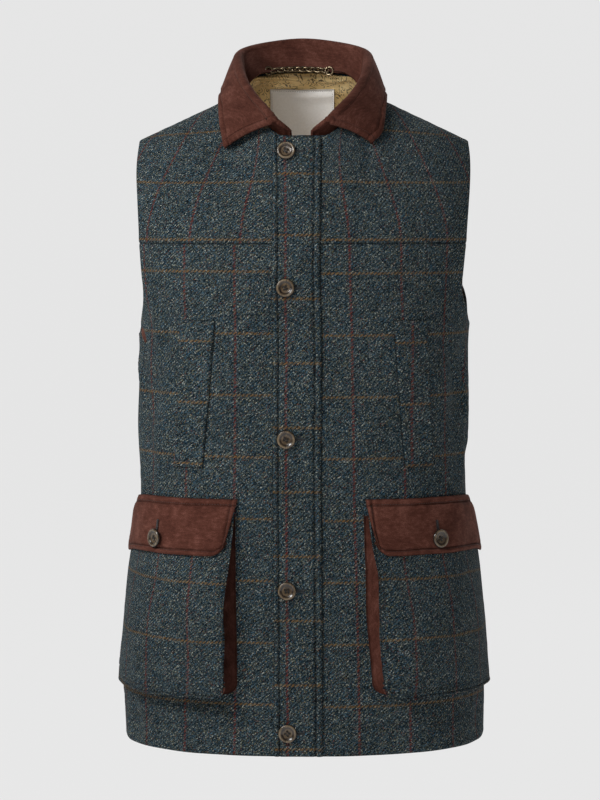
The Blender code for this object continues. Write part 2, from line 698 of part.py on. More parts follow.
def build_buttons(look):
    shape = button_mesh(look)
    out = CLOTH + LAYER + BUTTON_LIFT
    for number, z in enumerate(BUTTON_HEIGHTS, 1):
        if z > YOKE_SEAM:
            across = across_of(np.array(BUTTON_X), z)
            base, above = (laid(shoulder, BUTTON_X, across, lift) for lift in (out, out + 0.01))
        else:
            angle = angle_of(np.array(BUTTON_X), z)
            base, above = (laid(body, angle, z, lift) for lift in (out, out + 0.01))
        place_button(f"button_{number}", shape, base, above - base)
    z = np.array(FLAP_BUTTON_HEIGHT)
    for name, sign in (("flap_button_left", 1), ("flap_button_right", -1)):
        run = FLAP_BUTTON_SHARES[name] * POCKET_WIDTH
        lift = flap_out(run, z) + FLAP_BUTTON_LIFT
        base, above = (laid(body, sign * pocket_angle(run, z), z, lift + more) for more in (0, 0.01))
        place_button(name, shape, base, above - base)


for leftover in list(bpy.data.objects):
    bpy.data.objects.remove(leftover)
PARTS = bpy.data.collections.new("body_warmer")
CUTTERS = bpy.data.collections.new("cutters")
bpy.context.scene.collection.children.link(PARTS)
bpy.context.scene.collection.children.link(CUTTERS)

tweed = make_material("tweed", (0.036, 0.046, 0.050), 0.95)
moleskin = make_material("moleskin", (0.068, 0.026, 0.020), 0.9)
satin = make_material("satin", (0.17, 0.085, 0.03), 0.35)
label_weave = make_material("label_weave", (0.66, 0.64, 0.60), 0.8)
horn = make_material("horn", (0.26, 0.17, 0.10), 0.35)
old_brass = make_material("old_brass", (0.10, 0.08, 0.06), 0.4, 1.0)

build_back(tweed)
build_fronts(tweed)
build_yokes(tweed)
build_placket(tweed)
build_welts(tweed)
build_pocket_faces(tweed)
build_gussets(moleskin)
build_flaps(moleskin)
build_collar(moleskin)
build_facings(moleskin)
build_lining(satin)
build_label(label_weave)
build_chain(old_brass)
build_buttons(horn)
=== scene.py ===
"""The looks of the tweed body warmer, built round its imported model. Metres, +Z up, front facing -Y."""
import math

import bpy
import numpy as np
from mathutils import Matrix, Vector


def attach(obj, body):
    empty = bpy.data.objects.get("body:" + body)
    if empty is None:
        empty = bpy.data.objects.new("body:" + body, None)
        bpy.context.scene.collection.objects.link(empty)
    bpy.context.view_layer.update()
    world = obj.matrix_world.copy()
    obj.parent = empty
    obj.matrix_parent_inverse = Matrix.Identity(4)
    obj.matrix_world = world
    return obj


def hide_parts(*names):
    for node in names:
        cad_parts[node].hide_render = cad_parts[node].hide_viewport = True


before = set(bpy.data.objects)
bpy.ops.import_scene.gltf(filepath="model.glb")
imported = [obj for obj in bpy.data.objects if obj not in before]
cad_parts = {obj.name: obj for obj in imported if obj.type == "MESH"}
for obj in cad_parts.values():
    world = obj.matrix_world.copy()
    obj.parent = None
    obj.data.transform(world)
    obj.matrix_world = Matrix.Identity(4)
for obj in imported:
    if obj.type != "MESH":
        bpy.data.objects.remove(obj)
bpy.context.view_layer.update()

# Walls
CLOTH = 0.0025
WALL = 0.0022
LINING_WALL = 0.0008
COLLAR_CLOTH = 0.0026
GUSSET_WALL = 0.0010
LAYER = 0.0004
LOOSE_LAYER = 0.0010
# From a cloth's face to the face of a piece laid on it
STEP_UP = CLOTH * 0.9
# How far a wall's rounded rim stands out, as a share of the wall
EDGE_ROUND = 0.4

# Heights
HEM = -0.704
YOKE_SEAM = -0.163
UNDERARM = -0.252
ARMHOLE_TURN = -0.198

# Level sections of the body: height, half_width, front_depth, back_depth, lean to the wearer's left
SECTIONS = (
    (-0.710, 0.1965, 0.158, 0.131, 0.0014),
    (-0.640, 0.1975, 0.155, 0.128, 0.0014),
    (-0.560, 0.1910, 0.149, 0.119, 0.0010),
    (-0.500, 0.1830, 0.145, 0.111, 0.0006),
    (-0.440, 0.1785, 0.141, 0.104, 0.0000),
    (-0.360, 0.1785, 0.138, 0.102, 0.0000),
    (-0.300, 0.1795, 0.136, 0.105, 0.0000),
    (-0.252, 0.1815, 0.134, 0.108, 0.0000),
    (-0.210, 0.1875, 0.131, 0.111, -0.0010),
    (-0.160, 0.1930, 0.127, 0.113, -0.0010),
    (-0.060, 0.1935, 0.113, 0.113, 0.0000),
    (0.060, 0.1935, 0.108, 0.113, 0.0000),
)
ROUNDNESS = 2.4
BODY_RADIUS = 0.15
HEART_HEIGHT = -0.2

# The shoulder
NECK_POINT = 0.068
SHOULDER_SLOPE = 0.466
SHOULDER_TIP = 0.179
NECK_SWELL, NECK_STEEPNESS = 0.043, 0.8
FRONT_ROLL = (-0.250, 2.2)
BACK_ROLL = (-0.220, 4.0)

# The armhole's edge above its turn: height, half_width
ARMHOLE_EDGE = (
    (-0.210, 0.1765),
    (-0.170, 0.1770),
    (-0.120, 0.1790),
    (-0.070, 0.1810),
    (-0.045, 0.1790),
)
ARMHOLE_DIP = (0.0040, -0.212, 0.030)
ARMHOLE_DEPTH = 0.16
# The armhole's foot, wearer's left and right: how far it drops, how pointed it is, how far back it reaches
FOOT_DROP = {1: 0.0, -1: 0.014}
FOOT_REACH = 0.04
FOOT_POINT = {1: 1.25, -1: 1.7}
BACK_FOOT = {1: 0.085, -1: 0.0}
BACK_FOOT_HEIGHT, BACK_FOOT_REACH = -0.228, 0.016

# Large folds, as in the source: angle, height, width, length, lean, swell
FOLDS = (
    (62, -0.330, 0.016, 0.050, 0.30, -0.0025),
    (74, -0.350, 0.014, 0.055, 0.25, 0.0025),
    (-66, -0.340, 0.018, 0.060, -0.20, -0.0020),
    (-78, -0.380, 0.016, 0.060, -0.15, 0.0020),
    (112, -0.370, 0.022, 0.080, 0.10, -0.0030),
    (-114, -0.390, 0.022, 0.080, -0.10, -0.0030),
    (150, -0.560, 0.030, 0.120, 0.05, 0.0030),
    (-148, -0.590, 0.030, 0.120, -0.05, 0.0030),
)

# Creases: start_angle, start_height, end_angle, end_height, width, rise
CREASES = (
    (-56, -0.205, -54, -0.292, 0.0042, -0.0022),
    (-60, -0.215, -59, -0.300, 0.0060, 0.0013),
    (50, -0.262, 64, -0.338, 0.0090, -0.0022),
    (58, -0.285, 73, -0.372, 0.0075, 0.0016),
    (70, -0.268, 63, -0.352, 0.0070, -0.0020),
    (66, -0.345, 77, -0.424, 0.0080, -0.0022),
    (80, -0.300, 72, -0.416, 0.0085, 0.0018),
    (57, -0.352, 62, -0.425, 0.0065, -0.0012),
    (-86, -0.256, -64, -0.292, 0.0080, -0.0024),
    (-82, -0.280, -70, -0.352, 0.0085, 0.0016),
    (-58, -0.276, -70, -0.378, 0.0100, -0.0013),
    (-76, -0.335, -63, -0.432, 0.0095, -0.0014),
    (34, -0.175, 22, -0.238, 0.0140, -0.0010),
    (-38, -0.172, -24, -0.236, 0.0140, -0.0010),
    (18, -0.250, 12, -0.410, 0.0140, 0.0008),
    (-20, -0.255, -13, -0.430, 0.0150, 0.0008),
    (13, -0.470, 16, -0.690, 0.0160, 0.0012),
    (-13, -0.480, -17, -0.695, 0.0160, 0.0012),
    (33, -0.655, 36, -0.712, 0.0160, 0.0014),
    (-36, -0.650, -33, -0.712, 0.0170, 0.0014),
    (66, -0.648, 63, -0.712, 0.0150, -0.0016),
    (-64, -0.646, -67, -0.712, 0.0150, -0.0016),
    (98, -0.262, 118, -0.335, 0.0120, -0.0028),
    (112, -0.255, 134, -0.300, 0.0110, 0.0018),
    (-96, -0.260, -121, -0.322, 0.0120, -0.0026),
    (-110, -0.275, -137, -0.345, 0.0120, 0.0018),
    (128, -0.335, 152, -0.392, 0.0130, -0.0022),
    (-131, -0.350, -149, -0.418, 0.0130, -0.0020),
    (168, -0.318, 192, -0.352, 0.0120, -0.0018),
    (158, -0.372, 186, -0.402, 0.0130, -0.0016),
    (176, -0.428, 202, -0.450, 0.0130, -0.0014),
    (164, -0.215, 158, -0.300, 0.0160, 0.0012),
    (-164, -0.205, -157, -0.310, 0.0170, 0.0012),
    (146, -0.470, 156, -0.700, 0.0240, 0.0028),
    (-152, -0.455, -160, -0.700, 0.0230, 0.0024),
    (124, -0.500, 120, -0.704, 0.0220, -0.0026),
    (-127, -0.520, -121, -0.704, 0.0220, -0.0026),
    (177, -0.520, 181, -0.704, 0.0210, -0.0020),
    (101, -0.560, 99, -0.704, 0.0160, 0.0018),
    (-102, -0.545, -100, -0.704, 0.0160, 0.0018),
)
CREASE_DEPTH = 1.9
# Faint waves of the cloth: turns round the body, waves per metre of height, phase, rise
WAVES = (
    (3, 3.3, 0.4, 0.0008),
    (5, -2.7, 1.9, 0.0006),
    (9, 5.2, 4.2, 0.0004),
    (14, -6.5, 0.7, 0.0003),
    (23, 11.0, 2.6, 0.00018),
)

# Half the collar, centre front to centre back: seam_x, seam_across, roll_x, roll_y, roll_z, edge_x,
# edge_across
COLLAR = (
    (0.0125, -0.578, 0.0290, -0.0905, -0.0335, 0.0770, -0.481),
    (0.0300, -0.551, 0.0400, -0.0800, -0.0200, 0.0850, -0.400),
    (0.0500, -0.441, 0.0530, -0.0620, -0.0060, 0.0900, -0.300),
    (0.0630, -0.272, 0.0652, -0.0330, 0.0130, 0.0905, -0.160),
    (0.0680, 0.000, 0.0712, 0.0050, 0.0330, 0.0865, 0.020),
    (0.0605, 0.075, 0.0680, 0.0380, 0.0460, 0.0775, 0.160),
    (0.0380, 0.255, 0.0420, 0.0680, 0.0550, 0.0500, 0.325),
    (0.0000, 0.326, 0.0000, 0.0790, 0.0600, 0.0000, 0.405),
)
COLLAR_X_COLUMNS = (0, 2, 5)
NECK_SIDE_ROW, NAPE_ROW = 4, 7
COLLAR_LEAN = -0.0025
COLLAR_FOLD = 0.0024
NECK_DROP = 0.012
COLLAR_BULGE = 0.004
COLLAR_LIFT = 0.0034
COLLAR_RISE = 0.0010
# The stand's foot inside the neck: inwards at both ends and at the sides
STAND_IN = (0.0046, 0.0002)
# The same foot, wearer's left and right: down at the nape, at the sides and in front
STAND_DOWN = {1: (0.0038, 0.0008, 0.0125), -1: (0.0038, 0.0008, 0.0085)}
# The leaves, wearer's left and right
LEAF_NARROWING = {1: 0.0056, -1: 0.0036}
TIP_SPREAD = {1: -0.0032, -1: 0.0028}
TIP_RISE = {1: 0.014, -1: 0.0}
# Where the leaf narrows and how far its tip's changes reach, in rows of the table
LEAF_ROW, LEAF_REACH, TIP_REACH = 2.4, 1.5, 0.6
SHOULDER_GAP = 0.0010

# Centre front
PANEL_MEETS = {1: 0.004, -1: -0.003}
PLACKET_EDGE = -0.0325
PLACKET_SEAM = 0.0194
PLACKET_DROP = 0.0065
BUTTON_X = -0.0182
BUTTON_HEIGHTS = (-0.066, -0.210, -0.369, -0.529, -0.679)

# Hand-warmer welts
WELT_TOP, WELT_FOOT = -0.244, -0.401
WELT_INNER = (0.094, 0.107)
WELT_OUTER = (0.131, 0.138)

# Bellows pockets
FLAP_TOP, FLAP_FOOT = -0.433, -0.493
POCKET_TOP, POCKET_FOOT = -0.447, -0.643
POCKET_INNER = {1: 0.0682, -1: 0.0712}
POCKET_OUTER_ANGLE = math.radians(85)
POCKET_WIDTH = 0.19
POCKET_CORNER, POCKET_FAR_CORNER = 0.012, 0.020
FLAP_CORNER, FLAP_FAR_CORNER = 0.010, 0.018
POCKET_DEPTHS = (
    (-0.643, 0.0240, 0.0060),
    (-0.600, 0.0240, 0.0070),
    (-0.545, 0.0210, 0.0085),
    (-0.500, 0.0140, 0.0085),
    (-0.447, 0.0055, 0.0045),
)
POCKET_SLANTS = {1: (0.0062, 0.0033), -1: (0.0080, 0.0)}
GUSSET_SLANTS = {1: (-0.0042, 0.0055), -1: (0.0, 0.0)}
GUSSET_SPARE = (0.0075, 0.0030)
SLANT_LENGTH = 0.13
POCKET_SAG = 0.0065
GUSSET_INSET = 0.0010
GUSSET_FOLD = 0.007
FLAP_SPREAD = 0.002
FLAP_SLANTS = {1: 0.0105, -1: 0.0140}
FLAP_EASE = 0.016
FLAP_BUTTON_HEIGHT = -0.477
FLAP_BUTTON_SHARES = {"flap_button_left": 0.375, "flap_button_right": 0.455}

# Inside
FACING_WIDTH = 0.026
FACING_START = {1: 0.0005, -1: 0.0030}
LABEL_TOP, LABEL_FOOT, LABEL_HALF = 0.006, -0.046, 0.0355
LABEL_SHIFT, LABEL_CLEAR = -0.0012, 0.0030
LINING_RISE, LINING_IN = 0.0040, 0.15
# Level ripples of the lining: rise, place below the top, width, bend, bends per metre, start, least, beats
LINING_RIPPLES = (
    (0.0030, 0.0075, 0.0030, -0.0020, 40, 0, 0.7, 35),
    (0.0026, 0.0165, 0.0028, 0.0015, 55, 1, 0.6, 42),
)

# How an edge is shaped, by distance from it: place, width, rise
EDGES = {
    "seam": ((0, 0.0009, -0.0014), (0.0040, 0.0028, 0.0006)),
    "rolled": ((0, 0.0010, -0.0012), (0.0030, 0.0020, 0.0004)),
    "stitched": ((0, 0.0010, -0.0012), (0.0030, 0.0018, 0.0009), (0.0060, 0.0011, -0.0015),
                 (0.0095, 0.0022, 0.0005)),
    "lapped": ((0, 0.0013, -0.0016), (0.0042, 0.0024, 0.0013), (0.0080, 0.0012, -0.0016),
               (0.0115, 0.0022, 0.0005)),
    "band": ((0, 0.0010, -0.0010), (0.0034, 0.0022, 0.0014), (0.0072, 0.0011, -0.0016),
             (0.0105, 0.0024, 0.0005)),
    "ridged": ((0, 0.0008, -0.0006), (0.0014, 0.0011, 0.0010), (0.0031, 0.0010, -0.0010),
               (0.0080, 0.0010, -0.0007)),
    "hem": ((0, 0.0012, -0.0010), (0.0035, 0.0025, 0.0004), (0.0300, 0.0030, -0.0005)),
}
FINE = np.array([0, 0.0007, 0.0015, 0.0025, 0.0036, 0.0048, 0.0060, 0.0072, 0.0084, 0.0098, 0.0115])
# A groove this deep gets the full painted shade
GROOVE_DEPTH = 0.0014
# How far stitching runs from an edge: single rows, the lapped edge, and the double row on the pockets
STITCH_IN, LAP_STITCH_IN, BAND_STITCH_IN, WELT_STITCH_IN = 0.0060, 0.0080, 0.0072, 0.0020
DOUBLE_ROW = (0.0031, 0.0080)
# Puckers along an edge: rise by kind of edge, each wave's turns, start and weight, and where they lie
PUCKER = {"seam": 0.00025, "stitched": 0.0002, "lapped": 0.00035, "band": 0.00025, "ridged": 0.00015}
PUCKER_WAVES = ((310, 0, 1), (417, 1.3, 1), (143, 4.1, 1.5))
PUCKER_PLACE, PUCKER_WIDTH = 0.0085, 0.0055
# Puckers start and end this far from a corner, over this length
PUCKER_CLEAR, PUCKER_FADE = 0.008, 0.02
# Where edges calm down across a panel, as shares of its width
CALM_START, CALM_LENGTH = 0.80, 0.12

# The check
CHECK_ACROSS, CHECK_UP = 0.0567, 0.0653
# Where a front's cloth lies on the check: start across, lean, start up
FRONT_CHECKS = {1: (-0.0216, 0.016, 0.0308), -1: (0.0129, 0.005, 0.0287)}
YOKE_CHECK_UP = -0.0048
# Where the welts' check is shifted to: across, up
WELT_CHECK = (-0.0080, 0.0085)
# The pocket faces' check, wearer's left and right: start across, start up, stretch, rise at the outer end
POCKET_CHECKS = {1: (0.0330, 0.5179, 1.035, 0.004), -1: (0.0255, 0.5211, 1.06, 0.010)}
POCKET_CHECK_STRETCH = 1.3
BACK_CHECK_ACROSS = 0.011
# The placket's check: start across, start up, stretch
PLACKET_CHECK = (0.0461, 0.2197, 0.96)

# Rows and columns of the meshes
LOWER_ROWS, FOOT_ROWS, TOP_ROWS = 100, 14, 16
FRONT_COLUMNS = 64
YOKE_COLUMNS, YOKE_ROWS = 56, 40
BACK_COLUMNS, BACK_ROWS = 60, 44
NECK_COLUMNS = 24
PLACKET_COLUMNS, PLACKET_ROWS = 24, 30
WELT_COLUMNS, WELT_ROWS = 24, 60
POCKET_ROWS = 60
FLAP_COLUMNS, FLAP_ROWS = 64, 34
COLLAR_ROWS, STAND_STEPS, FOLD_STEPS, FALL_COLUMNS = 60, 9, 9, 22
GUSSET_ROWS, FACING_ROWS = 17, 9
LABEL_ROWS, LABEL_COLUMNS = 30, 40
# About how wide and high the panels are, for the spacing of their rows and columns
PANEL_WIDTH, YOKE_WIDTH, YOKE_HEIGHT, WELT_WIDTH, COLLAR_LENGTH = 0.27, 0.17, 0.12, 0.034, 0.30


def along(at, knots, values):
    """A smooth curve through the values at the knots."""
    knots, values = np.asarray(knots, float), np.asarray(values, float)
    slopes = np.gradient(values, knots)
    i = np.clip(np.searchsorted(knots, at) - 1, 0, len(knots) - 2)
    step = knots[i + 1] - knots[i]
    t = np.clip((at - knots[i]) / step, 0, 1)
    start = (2 * t**3 - 3 * t**2 + 1) * values[i] + (t**3 - 2 * t**2 + t) * step * slopes[i]
    end = (3 * t**2 - 2 * t**3) * values[i + 1] + (t**3 - t**2) * step * slopes[i + 1]
    return start + end


def column(table, at, number):
    rows = np.array(table)
    return along(at, rows[:, 0], rows[:, number])


def ease(t):
    t = np.clip(t, 0, 1)
    return t * t * (3 - 2 * t)


def bell(distance, width):
    return np.exp(-((distance / width) ** 2))


def ridge(x):
    """The height of the shoulder ridge."""
    share = np.abs(x) / NECK_POINT
    height = np.maximum(1 - share**2, 0)
    inside = SHOULDER_SLOPE * NECK_POINT * height / 2 + NECK_SWELL * height**NECK_STEEPNESS
    return np.where(share < 1, inside, SHOULDER_SLOPE * NECK_POINT * (1 - share))


def roll(x, z, front):
    low = np.where(front, FRONT_ROLL[0], BACK_ROLL[0])
    power = np.where(front, FRONT_ROLL[1], BACK_ROLL[1])
    share = np.clip((z - low) / (ridge(x) - low), 0, 1)
    return np.sqrt(1 - share**power)


def drape(angle, z):
    """The rise of folds, creases and waves."""
    rise = 0
    turned = np.mod(angle + math.pi, 2 * math.pi) - math.pi
    for middle, height, width, length, lean, size in FOLDS:
        across = BODY_RADIUS * (turned - math.radians(middle)) - lean * (z - height)
        rise = rise + size * bell(across, width) * bell(z - height, length)
    for start, top, end, foot, width, size in CREASES:
        middle = math.radians((start + end) / 2)
        x = BODY_RADIUS * (np.mod(angle - middle + math.pi, 2 * math.pi) - math.pi)
        run, fall = BODY_RADIUS * math.radians(end - start), foot - top
        length = math.hypot(run, fall)
        t = np.clip(((x + run / 2) * run + (z - top) * fall) / length**2, 0, 1)
        off = ((x + run / 2) * fall - (z - top) * run) / length + 0.15 * length * np.sin(math.pi * t)
        rise = rise + CREASE_DEPTH * size * bell(off, width * (0.5 + 0.7 * t)) * np.sin(math.pi * t) ** 1.2
    for turns, waves, phase, size in WAVES:
        rise = rise + size * np.sin(turns * angle + 2 * math.pi * waves * z + phase)
    return rise


def body(angle, z):
    """A point of the body by angle, 0 at centre front and growing to the wearer's left, and height."""
    s, c = np.sin(angle), np.cos(angle)
    radius = (np.abs(s) ** ROUNDNESS + np.abs(c) ** ROUNDNESS) ** (-1 / ROUNDNESS)
    x = column(SECTIONS, z, 1) * radius * s
    depth = np.where(c > 0, column(SECTIONS, z, 2), column(SECTIONS, z, 3))
    y = -depth * radius * c * roll(x, z, c > 0)
    swell = 1 + drape(angle, z) / BODY_RADIUS
    return np.stack([x * swell + column(SECTIONS, z, 4), y * swell, z + 0 * x], -1)


def angle_of(x, z, front=True):
    share = np.clip(np.abs(x) / column(SECTIONS, z, 1), 0, 0.9999)
    other = (1 - share**ROUNDNESS) ** (1 / ROUNDNESS)
    return np.arctan2(np.sign(x) * share, np.where(front, other, -other))


def shoulder(x, across):
    """A point of the upper body by x and by where it is across the shoulder: -1 front, 0 ridge, 1 back."""
    front = across < 0
    low = np.where(front, FRONT_ROLL[0], BACK_ROLL[0])
    z = low + (ridge(x) - low) * (1 - across**2)
    return body(angle_of(x, z, front), z)


def across_of(x, z, front=True):
    low = FRONT_ROLL[0] if front else BACK_ROLL[0]
    share = np.clip((z - low) / (ridge(x) - low), 0, 1)
    return (-1 if front else 1) * np.sqrt(1 - share)


def laid(surface, a, b, out):
    """Points of a surface moved out along its normal."""
    step = 2e-4
    a, b = np.broadcast_arrays(np.asarray(a, float), np.asarray(b, float))
    points = surface(a, b)
    along_a = surface(a + step, b) - surface(a - step, b)
    along_b = surface(a, b + step) - surface(a, b - step)
    normal = np.cross(along_a, along_b)
    normal /= np.linalg.norm(normal, axis=-1, keepdims=True)
    heart = np.stack([0 * a, 0 * a, np.minimum(points[..., 2], HEART_HEIGHT)], -1)
    normal *= np.sign(np.sum(normal * (points - heart), -1))[..., None]
    return points + normal * np.asarray(out)[..., None]


def armhole_half(z):
    return column(ARMHOLE_EDGE, z, 1)


def outer_angle(z, side):
    """Where a front panel ends: on the side seam, round the armhole's foot, or at its edge."""
    turn_angle = angle_of(armhole_half(ARMHOLE_TURN), ARMHOLE_TURN)
    rise = np.clip((z - UNDERARM) / (ARMHOLE_TURN - UNDERARM), 0, 1)
    foot = math.pi / 2 - (math.pi / 2 - turn_angle) * np.sin(np.arccos(1 - rise)) ** FOOT_POINT[side]
    return np.where(z > ARMHOLE_TURN, angle_of(armhole_half(np.maximum(z, ARMHOLE_TURN)), z), foot)


def dropped(z, side):
    """Heights moved down round the armhole's foot."""
    return z - FOOT_DROP[side] * bell(z - UNDERARM, FOOT_REACH)


def back_foot(z, side):
    """How much further round the back's armhole edge reaches than the front's."""
    return BACK_FOOT[side] * bell(z - BACK_FOOT_HEIGHT, BACK_FOOT_REACH)


def fractions(count, length, near=True, far=True):
    """Fractions from 0 to 1, close together at the ends that carry stitching."""
    start = FINE / length if near else np.array([0.0])
    end = 1 - FINE[::-1] / length if far else np.array([1.0])
    middle = np.linspace(start[-1], end[0], count - len(start) - len(end) + 2)[1:-1]
    return np.concatenate([start, middle, end])


def lower_heights(top):
    """Heights from the hem up, close together at the hem, the armhole's foot and the top."""
    below = HEM + (UNDERARM - HEM) * fractions(LOWER_ROWS, UNDERARM - HEM, far=False)
    turn = np.arange(1, FOOT_ROWS + 1) * math.pi / (2 * FOOT_ROWS)
    foot = UNDERARM + (ARMHOLE_TURN - UNDERARM) * (1 - np.cos(turn))
    above = foot[-1] + (top - foot[-1]) * fractions(TOP_ROWS, top - foot[-1], near=False)[1:]
    return np.concatenate([below, foot, above])


def collar_column(row, number):
    values = [line[number] for line in COLLAR]
    mirror = -1 if number in COLLAR_X_COLUMNS else 1
    return along(row, np.arange(len(values) + 1), values + [mirror * values[-2]])


def upper_rows(side, foot_x, foot_z, neck_rows, front, rows):
    """A panel from a level line up to the neck and the shoulder seam: x and place across the shoulder."""
    neck_at = np.linspace(*neck_rows, NECK_COLUMNS)
    length = SHOULDER_TIP - NECK_POINT
    shoulder_x = NECK_POINT + length * fractions(len(foot_x) - NECK_COLUMNS + 1, length, near=False)[1:]
    top_x = np.concatenate([collar_column(neck_at, 0), shoulder_x])
    top_across = np.concatenate([collar_column(neck_at, 1), 0 * shoulder_x])
    sign = -1 if front else 1
    top_across = sign * (np.abs(top_across) * (1 + NECK_DROP) + SHOULDER_GAP)
    share = fractions(rows, YOKE_HEIGHT, near=front)[:, None]
    foot_across = across_of(foot_x, foot_z, front)
    x = foot_x + (top_x - foot_x) * share
    across = foot_across + (top_across - foot_across) * share
    low = FRONT_ROLL[0] if front else BACK_ROLL[0]
    height = low + (ridge(x) - low) * (1 - across**2)
    spread = np.linspace(0, 1, len(foot_x)) ** 2
    edge = foot_x[-1] + (top_x[-1] - foot_x[-1]) * share
    return side * (x + spread * (armhole_half(height) - edge)), across


# Meshes
def normals_of(grid, closed=False):
    """Unit normals of a grid of points, by its rows and columns."""
    down = np.gradient(grid, axis=0)
    if closed:
        across = (np.roll(grid, -1, axis=1) - np.roll(grid, 1, axis=1)) / 2
    else:
        across = np.gradient(grid, axis=1)
    normal = np.cross(across, down)
    return normal / np.maximum(np.linalg.norm(normal, axis=-1, keepdims=True), 1e-12)


def arcs(grid):
    """The distance of every point from the first row and from the first column, along the cloth."""
    rows = np.cumsum(np.linalg.norm(np.diff(grid, axis=0, prepend=grid[:1]), axis=-1), axis=0)
    columns = np.cumsum(np.linalg.norm(np.diff(grid, axis=1, prepend=grid[:, :1]), axis=-1), axis=1)
    return rows, columns


def shape_edges(grid, outward, first_row=None, last_row=None, first_column=None, last_column=None,
                calm=0.0):
    """Rolls, ridges, grooves and puckers along a panel's edges: the grid and how deep each groove is, which
    sets the painted shade in it.

    Calm is the share they lose towards the last column."""
    rows, columns = arcs(grid)
    rise, groove = 0 * rows, 0 * rows
    edges = (
        (first_row, rows, columns),
        (last_row, rows[-1:] - rows, columns),
        (first_column, columns, rows),
        (last_column, columns[:, -1:] - columns, rows),
    )
    for edge, distance, run in edges:
        for place, width, size in EDGES.get(edge, ()):
            rise = rise + size * bell(distance - place, width)
            # How deep in a groove each point lies, which sets the painted shade there
            groove = groove + max(-size, 0) / GROOVE_DEPTH * bell(distance - place, width * 0.75)
        wave = sum(weight * np.sin(run * turns + start) for turns, start, weight in PUCKER_WAVES)
        clear = ease((run - PUCKER_CLEAR) / PUCKER_FADE)
        clear = clear * ease((run.max() - run - PUCKER_CLEAR) / PUCKER_FADE)
        rise = rise + PUCKER.get(edge, 0) * wave * clear * bell(distance - PUCKER_PLACE, PUCKER_WIDTH)
    rise = rise * (1 - calm * ease((columns / columns[:, -1:] - CALM_START) / CALM_LENGTH))
    return grid + outward * rise[..., None], np.clip(groove, 0, 1)


def outward_of(grid, closed=False, hinge=(0, 0, -0.3)):
    normal = normals_of(grid, closed)
    if hinge is not None and np.sum(normal * (grid - np.array(hinge))) < 0:
        normal = -normal
    return normal


def mesh_piece(name, points, faces, uv, faces_slot, looks, groove=None):
    mesh = bpy.data.meshes.new(name)
    mesh.from_pydata(points, [], faces)
    for look in looks:
        mesh.materials.append(look)
    mesh.polygons.foreach_set("material_index", faces_slot)
    layer = mesh.uv_layers.new(name="cloth")
    index = np.empty(len(mesh.loops), np.int32)
    mesh.loops.foreach_get("vertex_index", index)
    layer.data.foreach_set("uv", np.asarray(uv, np.float32)[index].ravel())
    # A second UV layer carries the painted shade of grooves
    if groove is not None:
        layer = mesh.uv_layers.new(name="groove")
        layer.data.foreach_set("uv", np.repeat(np.asarray(groove, np.float32)[index], 2))
    mesh.shade_smooth()
    mesh.validate()
    item = bpy.data.objects.new(name, mesh)
    bpy.context.scene.collection.objects.link(item)
    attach(item, "root")
    return item


def grid_faces(rows, columns, start, closed, flip):
    i, j = np.meshgrid(np.arange(rows - 1), np.arange(columns if closed else columns - 1), indexing="ij")
    k = (j + 1) % columns
    quad = np.stack([i * columns + j, i * columns + k, (i + 1) * columns + k, (i + 1) * columns + j], -1)
    quad = quad.reshape(-1, 4) + start
    return quad[:, ::-1] if flip else quad


def shell(node, grid, uv, wall, looks, closed=False, hinge=(0, 0, -0.3), groove=None):
    """A closed thin wall of cloth in a node's place: an outer face, an inner face and a rounded rim."""
    groove = 0 * grid[..., 0] if groove is None else groove
    rows, columns = grid.shape[:2]
    outward = outward_of(grid, closed, hinge)
    plain = normals_of(grid, closed)
    flip = np.sum(plain * outward) > 0
    inner = grid - outward * wall
    points = [grid.reshape(-1, 3), inner.reshape(-1, 3)]
    uvs = [uv.reshape(-1, 2), uv.reshape(-1, 2)]
    grooves = [groove.ravel(), 0 * groove.ravel()]
    count = rows * columns
    faces = [grid_faces(rows, columns, 0, closed, not flip), grid_faces(rows, columns, count, closed, flip)]
    slots = [np.zeros(len(faces[0]), int), np.full(len(faces[1]), len(looks) - 1)]
    index = np.arange(count).reshape(rows, columns)
    if closed:
        borders = [index[0], index[-1][::-1]]
        beyond = [grid[0] - grid[1], (grid[-1] - grid[-2])[::-1]]
    else:
        borders = [np.concatenate([index[0], index[1:, -1], index[-1, -2::-1], index[-2:0:-1, 0]])]
        step = np.concatenate([grid[0] - grid[1], grid[1:-1, -1] - grid[1:-1, -2],
                               (grid[-1] - grid[-2])[::-1], (grid[1:-1, 0] - grid[1:-1, 1])[::-1]])
        corner = [0, columns - 1, columns + rows - 2, 2 * columns + rows - 3]
        for at in corner:
            step[at] = step[at - 1] + step[(at + 1) % len(step)]
        beyond = [step]
    for border, step in zip(borders, beyond):
        flat_grid = points[0][border]
        flat_inner = points[1][border]
        step = step / np.maximum(np.linalg.norm(step, axis=-1, keepdims=True), 1e-9)
        middle = (flat_grid + flat_inner) / 2 + step * wall * EDGE_ROUND
        start = sum(len(p) for p in points)
        points.append(middle)
        uvs.append(uvs[0][border])
        grooves.append(grooves[0][border])
        n = len(border)
        a = np.arange(n)
        b = (a + 1) % n
        first = np.stack([border[a], border[b], start + b, start + a], -1)
        second = np.stack([start + a, start + b, border[b] + count, border[a] + count], -1)
        rim = np.concatenate([first, second])
        faces.append(rim if flip else rim[:, ::-1])
        slots.append(np.zeros(len(rim), int))
    item = mesh_piece(node + "_cloth", np.concatenate(points).tolist(), np.concatenate(faces).tolist(),
                      np.concatenate(uvs), np.concatenate(slots), looks, np.concatenate(grooves))
    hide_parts(node)
    return item


def sample(grid, i, j):
    """Values of a grid at fractional rows and columns."""
    i, j = np.clip(i, 0, grid.shape[0] - 1.001), np.clip(j, 0, grid.shape[1] - 1.001)
    i0, j0 = i.astype(int), j.astype(int)
    a, b = (i - i0)[..., None], (j - j0)[..., None]
    top = (1 - b) * grid[i0, j0] + b * grid[i0, j0 + 1]
    foot = (1 - b) * grid[i0 + 1, j0] + b * grid[i0 + 1, j0 + 1]
    return (1 - a) * top + a * foot


